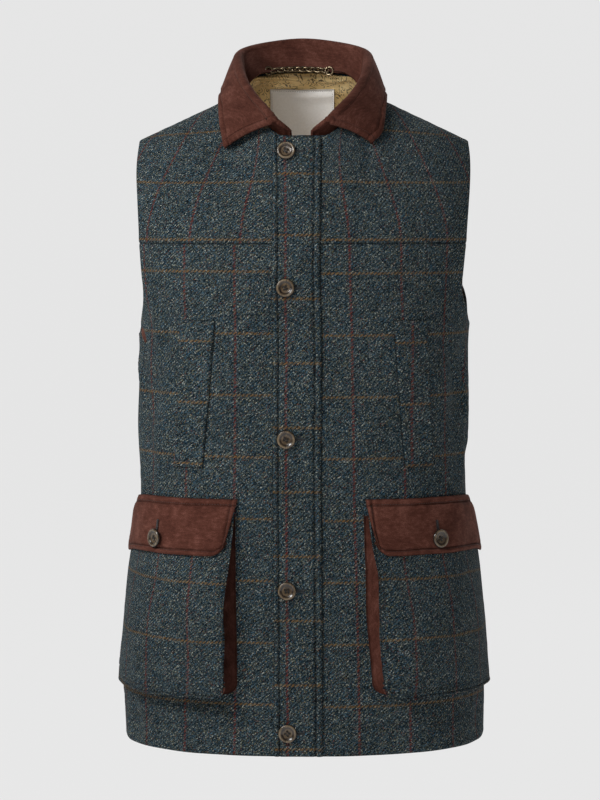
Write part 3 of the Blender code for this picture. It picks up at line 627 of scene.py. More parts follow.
def inset(grid, edge, distance, start=0.0, stop=None):
    """Fractional rows and columns at one distance from an edge, running from start to stop along it."""
    rows, columns = arcs(grid)
    level = edge in ("first_row", "last_row")
    depth, run = (rows, columns) if level else (columns.T, rows.T)
    if edge in ("first_row", "first_column"):
        order, run = slice(None), run[0]
    else:
        order, run, depth = slice(None, None, -1), run[-1], depth[-1:] - depth
    places = np.arange(len(depth))[order]
    near = np.array([np.interp(distance, line[order], places) for line in depth.T])
    beside = np.arange(len(near), dtype=float)
    keep = (run >= start) & (run <= (run[-1] - start if stop is None else stop))
    return (near[keep], beside[keep]) if level else (beside[keep], near[keep])


GRAIN = np.array([[-0.5, 0, 0]] + [[t, r * math.cos(a), r * math.sin(a)]
                  for t, r in ((-0.32, 0.8), (0, 1), (0.32, 0.8))
                  for a in np.arange(4) * math.pi / 2 + math.pi / 4] + [[0.5, 0, 0]])
GRAIN_FACES = np.array([[0, 1 + (k + 1) % 4, 1 + k, 1 + k] for k in range(4)]
                       + [[1 + 4 * r + k, 1 + 4 * r + (k + 1) % 4, 5 + 4 * r + (k + 1) % 4, 5 + 4 * r + k]
                          for r in range(2) for k in range(4)]
                       + [[13, 9 + k, 9 + (k + 1) % 4, 9 + (k + 1) % 4] for k in range(4)])


def grains(name, centres, directions, normals, length, radius, look):
    """Many short threads as one mesh."""
    directions = directions / np.linalg.norm(directions, axis=-1, keepdims=True)
    sides = np.cross(normals, directions)
    sides /= np.maximum(np.linalg.norm(sides, axis=-1, keepdims=True), 1e-9)
    ups = np.cross(directions, sides)
    length = np.broadcast_to(length, len(centres))[:, None, None]
    shape = directions[:, None] * GRAIN[None, :, :1] * length
    shape = shape + sides[:, None] * GRAIN[None, :, 1:2] * radius
    shape = shape + ups[:, None] * GRAIN[None, :, 2:] * radius
    points = (centres[:, None] + shape).reshape(-1, 3)
    faces = (GRAIN_FACES[None] + len(GRAIN) * np.arange(len(centres))[:, None, None]).reshape(-1, 4)
    tidy = [tuple(dict.fromkeys(face)) for face in faces.tolist()]
    uv = np.zeros((len(points), 2))
    uv[:, 0] = np.repeat(np.arange(len(centres)) * 0.003, len(GRAIN))
    return mesh_piece(name, points.tolist(), tidy, uv, np.zeros(len(tidy), int), [look])


def stitch_runs(name, runs, look, pitch=0.0031, length=0.0023, radius=0.00026, lift=0.0):
    """Topstitching: each run is a grid, its outward normals and a line of places on it."""
    centres, directions, ups = [], [], []
    for grid, outward, (i, j) in runs:
        line = sample(grid, i, j)
        normal = sample(outward, i, j)
        reach = np.concatenate([[0], np.cumsum(np.linalg.norm(np.diff(line, axis=0), axis=-1))])
        at = np.arange(pitch / 2, reach[-1], pitch)
        spot = np.stack([np.interp(at, reach, line[:, k]) for k in range(3)], -1)
        up = np.stack([np.interp(at, reach, normal[:, k]) for k in range(3)], -1)
        centres.append(spot + up * lift)
        directions.append(np.gradient(spot, axis=0))
        ups.append(up)
    return grains(name, np.concatenate(centres), np.concatenate(directions), np.concatenate(ups),
                  length, radius, look)


# Materials
class Look:
    """A material's node tree, with short ways to add to it."""

    def __init__(self, name, roughness, **fixed):
        self.material = bpy.data.materials.new(name)
        self.material.use_nodes = True
        self.tree = self.material.node_tree
        self.shader = self.tree.nodes["Principled BSDF"]
        self.shader.inputs["Roughness"].default_value = roughness
        for socket, value in fixed.items():
            self.shader.inputs[socket.replace("_", " ")].default_value = value

    def put(self, value, socket):
        if isinstance(value, bpy.types.NodeSocket):
            self.tree.links.new(value, socket)
        else:
            socket.default_value = value

    def node(self, kind, inputs=None, **settings):
        made = self.tree.nodes.new(kind)
        for key, value in settings.items():
            setattr(made, key, value)
        for key, value in (inputs or {}).items():
            self.put(value, made.inputs[key])
        return made

    def math(self, operation, *values):
        return self.node("ShaderNodeMath", dict(enumerate(values)), operation=operation).outputs[0]

    def plus(self, a, b):
        return self.math("ADD", a, b)

    def minus(self, a, b):
        return self.math("SUBTRACT", a, b)

    def times(self, a, b):
        return self.math("MULTIPLY", a, b)

    def wave(self, value, length):
        return self.math("SINE", self.times(value, 2 * math.pi / length))

    def smooth(self, value, low, high):
        made = self.node("ShaderNodeMapRange", {0: value, 1: low, 2: high}, interpolation_type="SMOOTHSTEP")
        return made.outputs[0]

    def grey(self, value):
        return self.vector(value, value, value)

    def mix(self, factor, a, b, blend="MIX"):
        made = self.node("ShaderNodeMix", {0: factor}, data_type="RGBA", blend_type=blend)
        self.put(a, made.inputs[6])
        self.put(b, made.inputs[7])
        return made.outputs[2]

    def ramp(self, factor, stops, interpolation="LINEAR"):
        made = self.node("ShaderNodeValToRGB", {0: factor})
        ramp = made.color_ramp
        ramp.interpolation = interpolation
        while len(ramp.elements) < len(stops):
            ramp.elements.new(0.5)
        for element, (place, colour) in zip(ramp.elements, stops):
            element.position = place
            element.color = (*colour, 1)
        return made.outputs[0]

    def cloth_uv(self):
        uv = self.node("ShaderNodeUVMap", uv_map="cloth").outputs[0]
        parts = self.node("ShaderNodeSeparateXYZ", {0: uv}).outputs
        return uv, parts[0], parts[1]

    def vector(self, x, y, z=0.0):
        return self.node("ShaderNodeCombineXYZ", {0: x, 1: y, 2: z}).outputs[0]

    def noise(self, vector, scale, detail=2.0, roughness=0.5):
        made = self.node("ShaderNodeTexNoise", {"Vector": vector, "Scale": scale, "Detail": detail,
                                                "Roughness": roughness})
        return made.outputs[0]

    def bump(self, height, distance, strength=1.0):
        made = self.node("ShaderNodeBump", {"Height": height, "Distance": distance, "Strength": strength})
        self.put(made.outputs[0], self.shader.inputs["Normal"])

    def colour(self, value):
        self.put(value, self.shader.inputs["Base Color"])

    def painted_groove_shade(self, value, least):
        """The colour with painted shade in stitched grooves and seams."""
        layer = self.node("ShaderNodeUVMap", uv_map="groove").outputs[0]
        depth = self.node("ShaderNodeSeparateXYZ", {0: layer}).outputs[0]
        shade = self.minus(1.0, self.times(depth, 1.0 - least))
        return self.mix(1.0, value, self.grey(shade), "MULTIPLY")


def tweed_look(name):
    look = Look(name, 0.95, Sheen_Weight=0.03, Sheen_Roughness=0.5, Sheen_Tint=(0.50, 0.66, 0.78, 1),
                Specular_IOR_Level=0.08)
    uv, u, v = look.cloth_uv()
    wander = look.noise(uv, 160, 2)
    rise = look.minus(look.times(v, 1.12), u)
    rise = look.plus(rise, look.times(wander, 0.0022))
    along_twill = look.plus(look.times(u, 1.12), v)
    twill = look.wave(rise, 0.0046)
    cells = look.node("ShaderNodeTexVoronoi", {"Vector": look.vector(look.times(rise, 1.15),
                                                                     look.times(along_twill, 0.75)),
                                               "Scale": 920.0})
    random = look.node("ShaderNodeSeparateColor", {0: cells.outputs["Color"]}).outputs
    coarse = look.node("ShaderNodeTexVoronoi", {"Vector": look.vector(rise, look.times(along_twill, 0.5)),
                                                "Scale": 480.0})
    coarse_random = look.node("ShaderNodeSeparateColor", {0: coarse.outputs["Color"]}).outputs
    yarn = look.ramp(random[0], (
        (0.00, (0.001, 0.003, 0.004)),
        (0.28, (0.006, 0.012, 0.018)),
        (0.46, (0.022, 0.042, 0.056)),
        (0.60, (0.058, 0.098, 0.120)),
        (0.74, (0.128, 0.164, 0.166)),
        (0.84, (0.200, 0.180, 0.088)),
        (0.89, (0.045, 0.130, 0.215)),
        (0.93, (0.450, 0.470, 0.410)),
        (0.975, (0.160, 0.050, 0.026)),
    ), "CONSTANT")
    under = look.ramp(coarse_random[1], (
        (0.0, (0.008, 0.016, 0.022)),
        (0.5, (0.034, 0.056, 0.072)),
        (0.9, (0.085, 0.096, 0.082)),
    ))
    base = look.mix(0.26, yarn, under)
    tone = look.noise(uv, 9, 3)
    broken = look.smooth(look.plus(look.times(twill, 0.5), random[2]), 0.25, 0.6)
    for axis, repeat, colour, strength in ((u, CHECK_ACROSS, (0.130, 0.022, 0.014, 1), 0.80),
                                           (v, CHECK_UP, (0.205, 0.108, 0.030, 1), 0.70)):
        wobble = look.plus(axis, look.times(wander, 0.0006))
        share = look.math("FRACT", look.math("DIVIDE", wobble, repeat))
        distance = look.times(look.math("ABSOLUTE", look.minus(share, 0.5)), repeat)
        line = look.minus(1.0, look.smooth(distance, 0.0007, 0.0019))
        line = look.times(line, look.plus(0.62, look.times(coarse_random[2], 0.5)))
        base = look.mix(look.times(look.times(line, broken), strength), base, colour)
    shade = look.plus(0.90, look.times(twill, 0.26))
    shade = look.times(shade, look.plus(0.75, look.times(tone, 0.50)))
    base = look.mix(1.0, base, look.grey(shade), "MULTIPLY")
    # Painted shade in grooves and seams
    look.colour(look.painted_groove_shade(base, 0.30))
    height = look.plus(look.times(twill, 0.4), look.times(random[1], 0.8))
    look.bump(height, 0.0006, 0.8)
    return look.material


def moleskin_look(name, tint=1.0):
    look = Look(name, 0.9, Sheen_Weight=0.10, Sheen_Roughness=0.4, Sheen_Tint=(0.85, 0.45, 0.36, 1),
                Specular_IOR_Level=0.08)
    uv, u, v = look.cloth_uv()
    cloud = look.noise(uv, 34, 5, 0.65)
    brushed = look.noise(look.vector(look.times(u, 150), look.times(v, 330)), 1.0, 4, 0.65)
    nap = look.noise(uv, 1100, 2)
    tone = look.plus(look.times(cloud, 0.42), look.times(brushed, 0.30))
    tone = look.plus(tone, look.times(nap, 0.28))
    shades = ((0.36, (0.032, 0.010, 0.007)), (0.50, (0.072, 0.025, 0.017)), (0.63, (0.140, 0.056, 0.042)))
    base = look.ramp(tone, [(at, tuple(tint * c for c in colour)) for at, colour in shades])
    # Painted shade in grooves and seams
    look.colour(look.painted_groove_shade(base, 0.42))
    look.bump(look.plus(nap, look.times(cloud, 0.6)), 0.00025, 0.6)
    return look.material


def satin_look(name):
    look = Look(name, 0.28, Specular_IOR_Level=0.9, Anisotropic=0.3, Metallic=0.5)
    uv, u, _ = look.cloth_uv()
    drift = look.node("ShaderNodeTexNoise", {"Vector": uv, "Scale": 60.0, "Detail": 2.0}).outputs[1]
    moved = look.node("ShaderNodeVectorMath", {0: uv}, operation="ADD")
    push = look.node("ShaderNodeVectorMath", {0: drift, 3: 0.010}, operation="SCALE").outputs[0]
    look.put(push, moved.inputs[1])
    cells = look.node("ShaderNodeTexVoronoi", {"Vector": moved.outputs[0], "Scale": 120.0}).outputs[0]
    curl = look.math("SINE", look.times(cells, 22.0))
    leaf = look.smooth(curl, 0.52, 0.80)
    gap = look.smooth(look.noise(uv, 110, 2), 0.42, 0.50)
    mask = look.times(leaf, gap)
    gold = look.ramp(look.noise(uv, 30, 3), ((0.3, (0.60, 0.42, 0.17)), (0.7, (0.90, 0.70, 0.36))))
    look.colour(look.mix(look.times(mask, 0.88), gold, (0.030, 0.016, 0.009, 1)))
    threads = look.wave(u, 0.0004)
    look.bump(look.plus(look.noise(uv, 120, 3), look.times(threads, 0.08)), 0.0006, 0.5)
    return look.material


def label_look(name):
    look = Look(name, 0.75, Sheen_Weight=0.1, Specular_IOR_Level=0.3)
    uv, u, v = look.cloth_uv()
    ribs = look.wave(v, 0.0007)
    weft = look.wave(u, 0.0005)
    look.colour(look.ramp(look.noise(uv, 400, 3), ((0.3, (0.90, 0.885, 0.85)), (0.7, (0.97, 0.955, 0.93)))))
    look.bump(look.times(ribs, weft), 0.0001, 0.5)
    return look.material


def horn_look(name):
    look = Look(name, 0.26, Specular_IOR_Level=0.6, Coat_Weight=0.15, Coat_Roughness=0.12)
    place = look.node("ShaderNodeTexCoord").outputs["Object"]
    stretched = look.node("ShaderNodeMapping", {0: place, 3: (1.0, 1.0, 0.45)}).outputs[0]
    marble = look.node("ShaderNodeTexNoise", {"Vector": stretched, "Scale": 210.0, "Detail": 4.0,
                                              "Distortion": 1.2})
    shade = look.ramp(marble.outputs[0], (
        (0.30, (0.35, 0.30, 0.26)),
        (0.46, (0.80, 0.75, 0.70)),
        (0.60, (1.50, 1.45, 1.35)),
        (0.72, (0.70, 0.65, 0.60)),
    ))
    uv = look.cloth_uv()[0]
    out = look.node("ShaderNodeVectorMath", {0: uv}, operation="LENGTH").outputs[1]
    # By distance from the middle: the horn's own tone, with painted highlight on the rim's top and painted
    # shade in the ring inside the rim and round the outer edge
    turned = look.ramp(look.times(out, 100.0), (
        (0.00, (0.070, 0.049, 0.029)),
        (0.46, (0.090, 0.064, 0.038)),
        (0.58, (0.022, 0.014, 0.009)),
        (0.68, (0.036, 0.025, 0.015)),
        (0.80, (0.155, 0.117, 0.073)),
        (0.90, (0.120, 0.089, 0.054)),
        (0.97, (0.015, 0.010, 0.007)),
    ))
    look.colour(look.mix(1.0, turned, shade, "MULTIPLY"))
    look.bump(look.noise(place, 900, 2), 0.00005, 0.4)
    return look.material


def brass_look(name):
    look = Look(name, 0.38, Metallic=1.0)
    place = look.node("ShaderNodeTexCoord").outputs["Object"]
    wear = look.noise(place, 500, 3)
    look.colour(look.ramp(wear, ((0.35, (0.070, 0.052, 0.036)), (0.65, (0.42, 0.33, 0.21)))))
    look.bump(wear, 0.00008, 0.5)
    return look.material


def thread_look(name, colour):
    look = Look(name, 0.7, Sheen_Weight=0.2)
    uv = look.cloth_uv()[0]
    tone = look.noise(uv, 700, 2)
    dark = tuple(0.7 * c for c in colour)
    bright = tuple(1.3 * c for c in colour)
    look.colour(look.ramp(tone, ((0.35, dark), (0.65, bright))))
    return look.material


tweed = tweed_look("tweed")
moleskin = moleskin_look("moleskin", 1.08)
# A lighter copy of the moleskin, painted light: for the flaps' faces
moleskin_flap_lit = moleskin_look("moleskin_flap_lit", 1.35)
# A darker copy of the moleskin, painted shade: for the flaps' undersides and the wearer's right gusset
moleskin_shaded = moleskin_look("moleskin_painted_shade", 0.6)
satin = satin_look("satin")
label_weave = label_look("label_weave")
horn = horn_look("horn")
old_brass = brass_look("old_brass")
tweed_thread = thread_look("tweed_thread", (0.020, 0.026, 0.032))
brown_thread = thread_look("brown_thread", (0.022, 0.008, 0.006))
# Near black: the threads across the button holes, and the painted shade in the buttonholes' slits
black_thread_and_slit_shade = thread_look("slit", (0.008, 0.008, 0.009))


def pair(kind):
    """The names of a piece on the wearer's left and right, each with its side's sign."""
    return ((kind + "_left", 1), (kind + "_right", -1))


# The panels
def front_grid(side, meet):
    z = lower_heights(YOKE_SEAM)
    size, middle, width = ARMHOLE_DIP
    outer = outer_angle(z, side) - size * bell(z - middle, width) * (z > UNDERARM) / 0.10
    z = dropped(z, side)
    inner = angle_of(abs(meet) + 0 * z, z)[:, None]
    angle = inner + (outer[:, None] - inner) * fractions(FRONT_COLUMNS, PANEL_WIDTH)
    return laid(body, side * angle, z[:, None], 0), z


def front_uv(grid, z, side, start):
    """Check coordinates: along the cloth from centre front, with the grain's small lean, and height."""
    across, lean, up = FRONT_CHECKS[side]
    u = start + arcs(grid)[1] + across + lean * (z[:, None] - YOKE_SEAM)
    return np.stack([side * u, z[:, None] + 0 * u + up], -1)


def make_fronts():
    for name, side in pair("front"):
        meet = PANEL_MEETS[side]
        grid, z = front_grid(side, meet)
        uv = front_uv(grid, z, side, abs(meet))
        grid, groove = shape_edges(grid, outward_of(grid), first_row="hem", last_row="seam",
                                   last_column="seam", calm=0.6)
        item = shell(name, grid, uv, WALL, [tweed, satin], groove=groove)


def make_yokes():
    for name, side in pair("yoke"):
        meet = PANEL_MEETS[side]
        foot_x = meet + (armhole_half(YOKE_SEAM) - meet) * fractions(YOKE_COLUMNS, YOKE_WIDTH)
        x, across = upper_rows(side, foot_x, YOKE_SEAM, (0, NECK_SIDE_ROW), True, YOKE_ROWS)
        x[:, 0] = side * meet
        grid = laid(shoulder, x, across, 0)
        rows, columns = arcs(grid)
        u = side * (abs(meet) + columns + FRONT_CHECKS[side][0])
        uv = np.stack([u, YOKE_SEAM + rows + YOKE_CHECK_UP], -1)
        grid, groove = shape_edges(grid, outward_of(grid), first_row="seam", last_row="seam",
                                   last_column="rolled", calm=0.6)
        item = shell(name, grid, uv, WALL, [tweed, satin], groove=groove)


def back_half(side):
    """Half the back, centre to edge, with its check coordinates."""
    z = lower_heights(YOKE_SEAM)
    z = z[z < ARMHOLE_TURN + 0.001]
    columns = fractions(BACK_COLUMNS, PANEL_WIDTH, near=False)
    angle = math.pi - (outer_angle(z, side) + back_foot(z, side))[:, None] * columns
    z = dropped(z, side)
    lower = laid(body, side * angle, z[:, None], 0)
    foot_x = np.abs(body(angle[-1], np.full(len(columns), z[-1]))[:, 0])
    foot_x[0] = 0
    x, across = upper_rows(side, foot_x, z[-1], (NAPE_ROW, NECK_SIDE_ROW), False, BACK_ROWS)
    upper = laid(shoulder, x, across, 0)
    grid = np.concatenate([lower, upper[1:]])
    rows, columns = arcs(grid)
    return grid, np.stack([side * columns, HEM + rows], -1), len(lower)


def make_back():
    left, left_uv, count = back_half(1)
    right, right_uv, _ = back_half(-1)
    middle = (left[:, :1] + right[:, :1]) / 2 * np.array([0, 1, 1])
    grid = np.concatenate([right[:, :0:-1], middle, left[:, 1:]], axis=1)
    uv = np.concatenate([right_uv[:, :0:-1], left_uv], axis=1)
    uv = uv + np.array([BACK_CHECK_ACROSS, 0])
    grid, groove = shape_edges(grid, outward_of(grid), first_row="hem", last_row="seam", first_column="seam",
                               last_column="seam")
    item = shell("back", grid, uv, WALL, [tweed, satin], groove=groove)
    return grid[count:]


def make_placket():
    width = PLACKET_SEAM - PLACKET_EDGE
    x = PLACKET_EDGE + width * fractions(PLACKET_COLUMNS, width)
    z = lower_heights(YOKE_SEAM)
    lift = STEP_UP + LAYER
    lower = laid(body, angle_of(x[None, :] + 0 * z[:, None], z[:, None]), z[:, None], lift)
    share = fractions(PLACKET_ROWS, YOKE_HEIGHT, near=False)[1:, None]
    table = np.array(COLLAR)
    top = -along(np.abs(x), table[:3, 0], -table[:3, 1]) * (1 + NECK_DROP) - PLACKET_DROP
    foot = across_of(x, YOKE_SEAM)
    upper = laid(shoulder, x + 0 * share, foot + (top - foot) * share, lift)
    grid = np.concatenate([lower, upper])
    rows, columns = arcs(grid)
    start, up, stretch = PLACKET_CHECK
    uv = np.stack([PLACKET_EDGE + columns + start, (HEM + rows + up) * stretch + CHECK_UP / 2], -1)
    outward = outward_of(grid)
    grid, groove = shape_edges(grid, outward, first_row="rolled", last_row="rolled", first_column="stitched",
                               last_column="lapped")
    item = shell("placket", grid, uv, WALL, [tweed, satin], groove=groove)
    runs = [(grid, outward, inset(grid, edge, distance, 0.004))
            for edge, distance in (("first_column", STITCH_IN), ("last_column", LAP_STITCH_IN))]
    threads = stitch_runs("placket_stitches", runs, tweed_thread)


def make_welts():
    share = fractions(WELT_ROWS, WELT_TOP - WELT_FOOT)[:, None]
    z = WELT_TOP + (WELT_FOOT - WELT_TOP) * share
    inner = WELT_INNER[0] + (WELT_INNER[1] - WELT_INNER[0]) * share
    outer = WELT_OUTER[0] + (WELT_OUTER[1] - WELT_OUTER[0]) * share
    x = inner + (outer - inner) * fractions(WELT_COLUMNS, WELT_WIDTH)
    for name, side in pair("welt"):
        grid = laid(body, side * angle_of(x, z + 0 * x), z + 0 * x, STEP_UP + LAYER)
        start, _, up = FRONT_CHECKS[side]
        uv = np.stack([side * (x + start + WELT_CHECK[0]), z + 0 * x + up + WELT_CHECK[1]], -1)
        outward = outward_of(grid)
        grid, groove = shape_edges(grid, outward, first_row="rolled", last_row="rolled", first_column="seam",
                                   last_column="rolled")
        item = shell(name, grid, uv, WALL, [tweed], groove=groove)
        runs = [(grid, outward, inset(grid, edge, WELT_STITCH_IN, 0.002))
                for edge in ("first_row", "last_row")]
        threads = stitch_runs(name + "_stitches", runs, tweed_thread)


def pocket_slant(z, side):
    upper, lower = POCKET_SLANTS[side]
    return upper * ease((FLAP_TOP - z) / SLANT_LENGTH) + lower * ease((-0.56 - z) / 0.08)


def pocket_point(run, z, side, depth):
    """A point out from the body, by the way from the pocket's inner edge and height.

    The outer end hangs lower."""
    inner = angle_of(POCKET_INNER[side] + 0 * z, z)
    share = run / POCKET_WIDTH
    angle = side * (inner + (POCKET_OUTER_ANGLE - inner) * share)
    sag = POCKET_SAG * (0.30 * share + 1.3 * share**6) * ease((z + 0.62) / 0.10)
    return laid(body, angle, z - sag, depth)


def pocket_depth(run, z):
    inner, outer = column(POCKET_DEPTHS, z, 1), column(POCKET_DEPTHS, z, 2)
    return inner + (outer - inner) * ease(run / POCKET_WIDTH)


def corner_rise(run, width, radius, far_radius):
    near, far = np.clip(run, 0, radius), np.clip(width - run, 0, far_radius)
    rise = radius - np.sqrt(radius**2 - (radius - near) ** 2)
    return rise + far_radius - np.sqrt(far_radius**2 - (far_radius - far) ** 2)


def pocket_face_grid(side):
    run = POCKET_WIDTH * fractions(POCKET_ROWS, POCKET_WIDTH)
    foot = POCKET_FOOT + corner_rise(run, POCKET_WIDTH, POCKET_CORNER, POCKET_FAR_CORNER)
    share = fractions(POCKET_ROWS, POCKET_TOP - POCKET_FOOT, near=False)[:, None]
    z = POCKET_TOP + (foot - POCKET_TOP) * share
    run = run + pocket_slant(z, side) * (1 - run / POCKET_WIDTH)
    puff = 0.0030 * bell(z + 0.575, 0.045) * bell(run - 0.085, 0.055)
    return pocket_point(run, z, side, pocket_depth(run, z) + puff), run, z


def make_pockets():
    for name, side in pair("pocket_face"):
        grid, run, z = pocket_face_grid(side)
        start, line, stretch, far_rise = POCKET_CHECKS[side]
        u = side * (start + run) * POCKET_CHECK_STRETCH
        level = z + line - far_rise * (run / POCKET_WIDTH) ** 3
        uv = np.stack([u, level * stretch + CHECK_UP / 2], -1)
        outward = outward_of(grid)
        grid, groove = shape_edges(grid, outward, last_row="ridged", first_column="ridged",
                                   last_column="ridged", calm=0.5)
        item = shell(name, grid, uv, WALL, [tweed, moleskin], groove=groove)
        runs = [(grid, outward, inset(grid, edge, distance, 0.002))
                for edge in ("first_column", "last_column", "last_row") for distance in DOUBLE_ROW]
        threads = stitch_runs(name + "_stitches", runs, tweed_thread)


def gusset_path(inward):
    radius, far_radius = POCKET_CORNER, POCKET_FAR_CORNER
    foot, far = POCKET_FOOT + inward + GUSSET_SPARE[1], POCKET_WIDTH - inward - GUSSET_SPARE[0]
    down = np.linspace(POCKET_TOP - 0.004, foot + radius, 50)[:-1]
    turn = np.linspace(0, math.pi / 2, 10)
    floor = np.linspace(inward + radius, far - far_radius, 50)[1:-1]
    up = np.linspace(foot + far_radius, POCKET_TOP - 0.004, 50)[1:]
    run = np.concatenate([0 * down + inward, inward + radius * (1 - np.cos(turn)), floor,
                          far - far_radius * (1 - np.sin(turn)), 0 * up + far])
    z = np.concatenate([down, foot + radius * (1 - np.sin(turn)), 0 * floor + foot,
                        foot + far_radius * (1 - np.cos(turn)), up])
    return run, z


# Painted shade on each gusset, from least on the body side to most on the face side, and its material: the
# wearer's right gusset in the darker copy of the moleskin
GUSSET_PAINTED_SHADES = {1: (0.0, 0.35, moleskin), -1: (0.15, 0.90, moleskin_shaded)}


def make_gussets():
    for name, side in pair("gusset"):
        rows = []
        for share in np.linspace(0, 1, GUSSET_ROWS):
            fold = math.sin(math.pi * share) ** 0.8
            run, z = gusset_path(GUSSET_INSET + GUSSET_FOLD * fold)
            ripple = 0.0016 * fold * np.sin(z * 260 + 5 * share + side) + 0.0011 * fold * np.sin(z * 470 + 2)
            base = GUSSET_SLANTS[side][0] + GUSSET_SLANTS[side][1] * ease((-0.54 - z) / 0.10)
            moved = base + share * (pocket_slant(z, side) - base)
            run = run + moved * (1 - run / POCKET_WIDTH) + ripple
            outer = pocket_depth(run, z) - STEP_UP + LAYER
            rows.append(pocket_point(run, z, side, outer * share + LAYER))
        grid = np.stack(rows)
        across, length = arcs(grid)
        uv = np.stack([length, across], -1)
        share = np.linspace(0, 1, len(grid))[:, None]
        # Painted shade across the gusset, carried in the groove layer
        least, most, look = GUSSET_PAINTED_SHADES[side]
        shade = least + (most - least) * ease((share - 0.2) / 0.5) + 0 * length
        item = shell(name, grid, uv, GUSSET_WALL, [look, look], hinge=None, groove=shade)


def flap_out(run, z):
    return STEP_UP + LOOSE_LAYER + ease((FLAP_TOP - z) / FLAP_EASE) * (pocket_depth(run, z) + LAYER)


def flap_grid(side):
    width = POCKET_WIDTH + 2 * FLAP_SPREAD
    run = width * fractions(FLAP_COLUMNS, POCKET_WIDTH) - FLAP_SPREAD
    foot = FLAP_FOOT + corner_rise(run + FLAP_SPREAD, width, FLAP_CORNER, FLAP_FAR_CORNER)
    z = FLAP_TOP + (foot - FLAP_TOP) * fractions(FLAP_ROWS, FLAP_TOP - FLAP_FOOT)[:, None]
    run = run + FLAP_SLANTS[side] * ((FLAP_TOP - z) / 0.06) ** 1.2 * (1 - run / POCKET_WIDTH)
    soft = 0.0010 * np.sin(run * 75 + side) * ease((FLAP_TOP - z) / 0.05)
    crease = 0.0009 * bell(z + 0.0012 * np.sin(run * 60) - FLAP_TOP + 0.0165, 0.0022) * ease(run / 0.03)
    return pocket_point(run, z, side, flap_out(run, z) + soft - crease * ease((POCKET_WIDTH - run) / 0.05))


def make_flaps():
    for name, side in pair("flap"):
        grid = flap_grid(side)
        rows, columns = arcs(grid)
        uv = np.stack([side * columns, -rows], -1)
        outward = outward_of(grid)
        grid, groove = shape_edges(grid, outward, first_row="band", last_row="stitched",
                                   first_column="stitched", last_column="stitched", calm=0.8)
        # Painted light and shade: the flap's face in the lighter copy of the moleskin, its underside in the
        # darker copy
        item = shell(name, grid, uv, WALL, [moleskin_flap_lit, moleskin_shaded], groove=groove)
        runs = [(grid, outward, inset(grid, "first_row", BAND_STITCH_IN, 0.001))]
        runs += [(grid, outward, inset(grid, edge, STITCH_IN, STITCH_IN))
                 for edge in ("first_column", "last_column", "last_row")]
        threads = stitch_runs(name + "_stitches", runs, brown_thread)


def collar_section(row, side):
    """One section of the collar: up the stand, over the fold and down the fall."""
    seam_x, seam_across, roll_x, roll_y, roll_z, edge_x, edge_across = (
        float(collar_column(row, number)) for number in range(7)
    )
    lean = COLLAR_LEAN * (1 - min(row / NECK_SIDE_ROW, 1)) ** 2
    edge_x = edge_x - LEAF_NARROWING[side] * bell(row - LEAF_ROW, LEAF_REACH)
    edge_x = edge_x + TIP_SPREAD[side] * bell(row, TIP_REACH)
    edge_across = edge_across + TIP_RISE[side] * bell(row, TIP_REACH)
    seam = shoulder(np.array(seam_x), np.array(seam_across))
    inwards = np.array([-seam[0], -seam[1], 0]) / math.hypot(seam[0], seam[1])
    seam = seam + inwards * (COLLAR_CLOTH / 2 + LAYER) + np.array([0, 0, COLLAR_RISE])
    edge = laid(shoulder, edge_x, edge_across, COLLAR_LIFT)
    turn = np.array([roll_x, roll_y, roll_z])
    out = np.array([edge[0] - seam[0], edge[1] - seam[1], 0])
    out /= np.linalg.norm(out)
    up = np.array([0, 0, 1])
    bend = turn - COLLAR_FOLD * up
    turns = np.linspace(math.pi, 0, FOLD_STEPS)
    fold = [bend + COLLAR_FOLD * (math.cos(a) * out + math.sin(a) * up) for a in turns]
    nape, least, most = STAND_DOWN[side]
    down = most + (least - most) * ease((row - 1.2) / 1.8) + (nape - least) * ease((row - 5.2) / 1.0)
    end = max(ease((row - 5.3) / 0.9), ease((2.6 - row) / 1.0))
    inside = STAND_IN[1] + (STAND_IN[0] - STAND_IN[1]) * end
    foot = seam + inwards * inside - up * down
    stand = [foot + (seam - foot) * t for t in (0, 0.35, 0.7)]
    stand += [seam + (fold[0] - seam) * t for t in np.linspace(0, 0.92, STAND_STEPS)]
    swell = (fold[-1] + edge) / 2 + COLLAR_BULGE * (out + up)
    length = np.linalg.norm(edge - fold[-1])
    share = fractions(FALL_COLUMNS, length, near=False)[1:]
    fall = [(1 - t) ** 2 * fold[-1] + 2 * t * (1 - t) * swell + t * t * edge for t in share]
    points = np.array(stand + fold + fall)
    points[:, 0] = side * points[:, 0] + lean
    return points


def make_collar():
    front = NAPE_ROW * fractions(COLLAR_ROWS, COLLAR_LENGTH, far=False)
    half = [collar_section(row, 1) for row in front]
    other = [collar_section(row, -1) for row in front[:-1]]
    grid = np.array(other + half[::-1])
    rows, columns = arcs(grid)
    uv = np.stack([rows, columns], -1)
    outward = outward_of(grid, hinge=None)
    if outward[len(grid) // 2, 0, 1] > 0:
        outward = -outward
    middle = grid + outward * (COLLAR_CLOTH / 2)
    middle, groove = shape_edges(middle, outward, first_row="stitched", last_row="stitched",
                                 last_column="stitched")
    # The collar's painted shade in grooves starts 34 mm along from the stand's foot
    groove = groove * ease((columns - 0.034) / 0.006)
    item = shell("collar", middle, uv, COLLAR_CLOTH, [moleskin, moleskin], hinge=None,
                 groove=groove)
    runs = [(middle, outward, inset(middle, "last_column", STITCH_IN, STITCH_IN))]
    reach = arcs(middle)[1][0]
    for edge in ("first_row", "last_row"):
        runs.append((middle, outward, inset(middle, edge, STITCH_IN, 0.038, reach[-1] - STITCH_IN)))
    threads = stitch_runs("collar_stitches", runs, brown_thread)


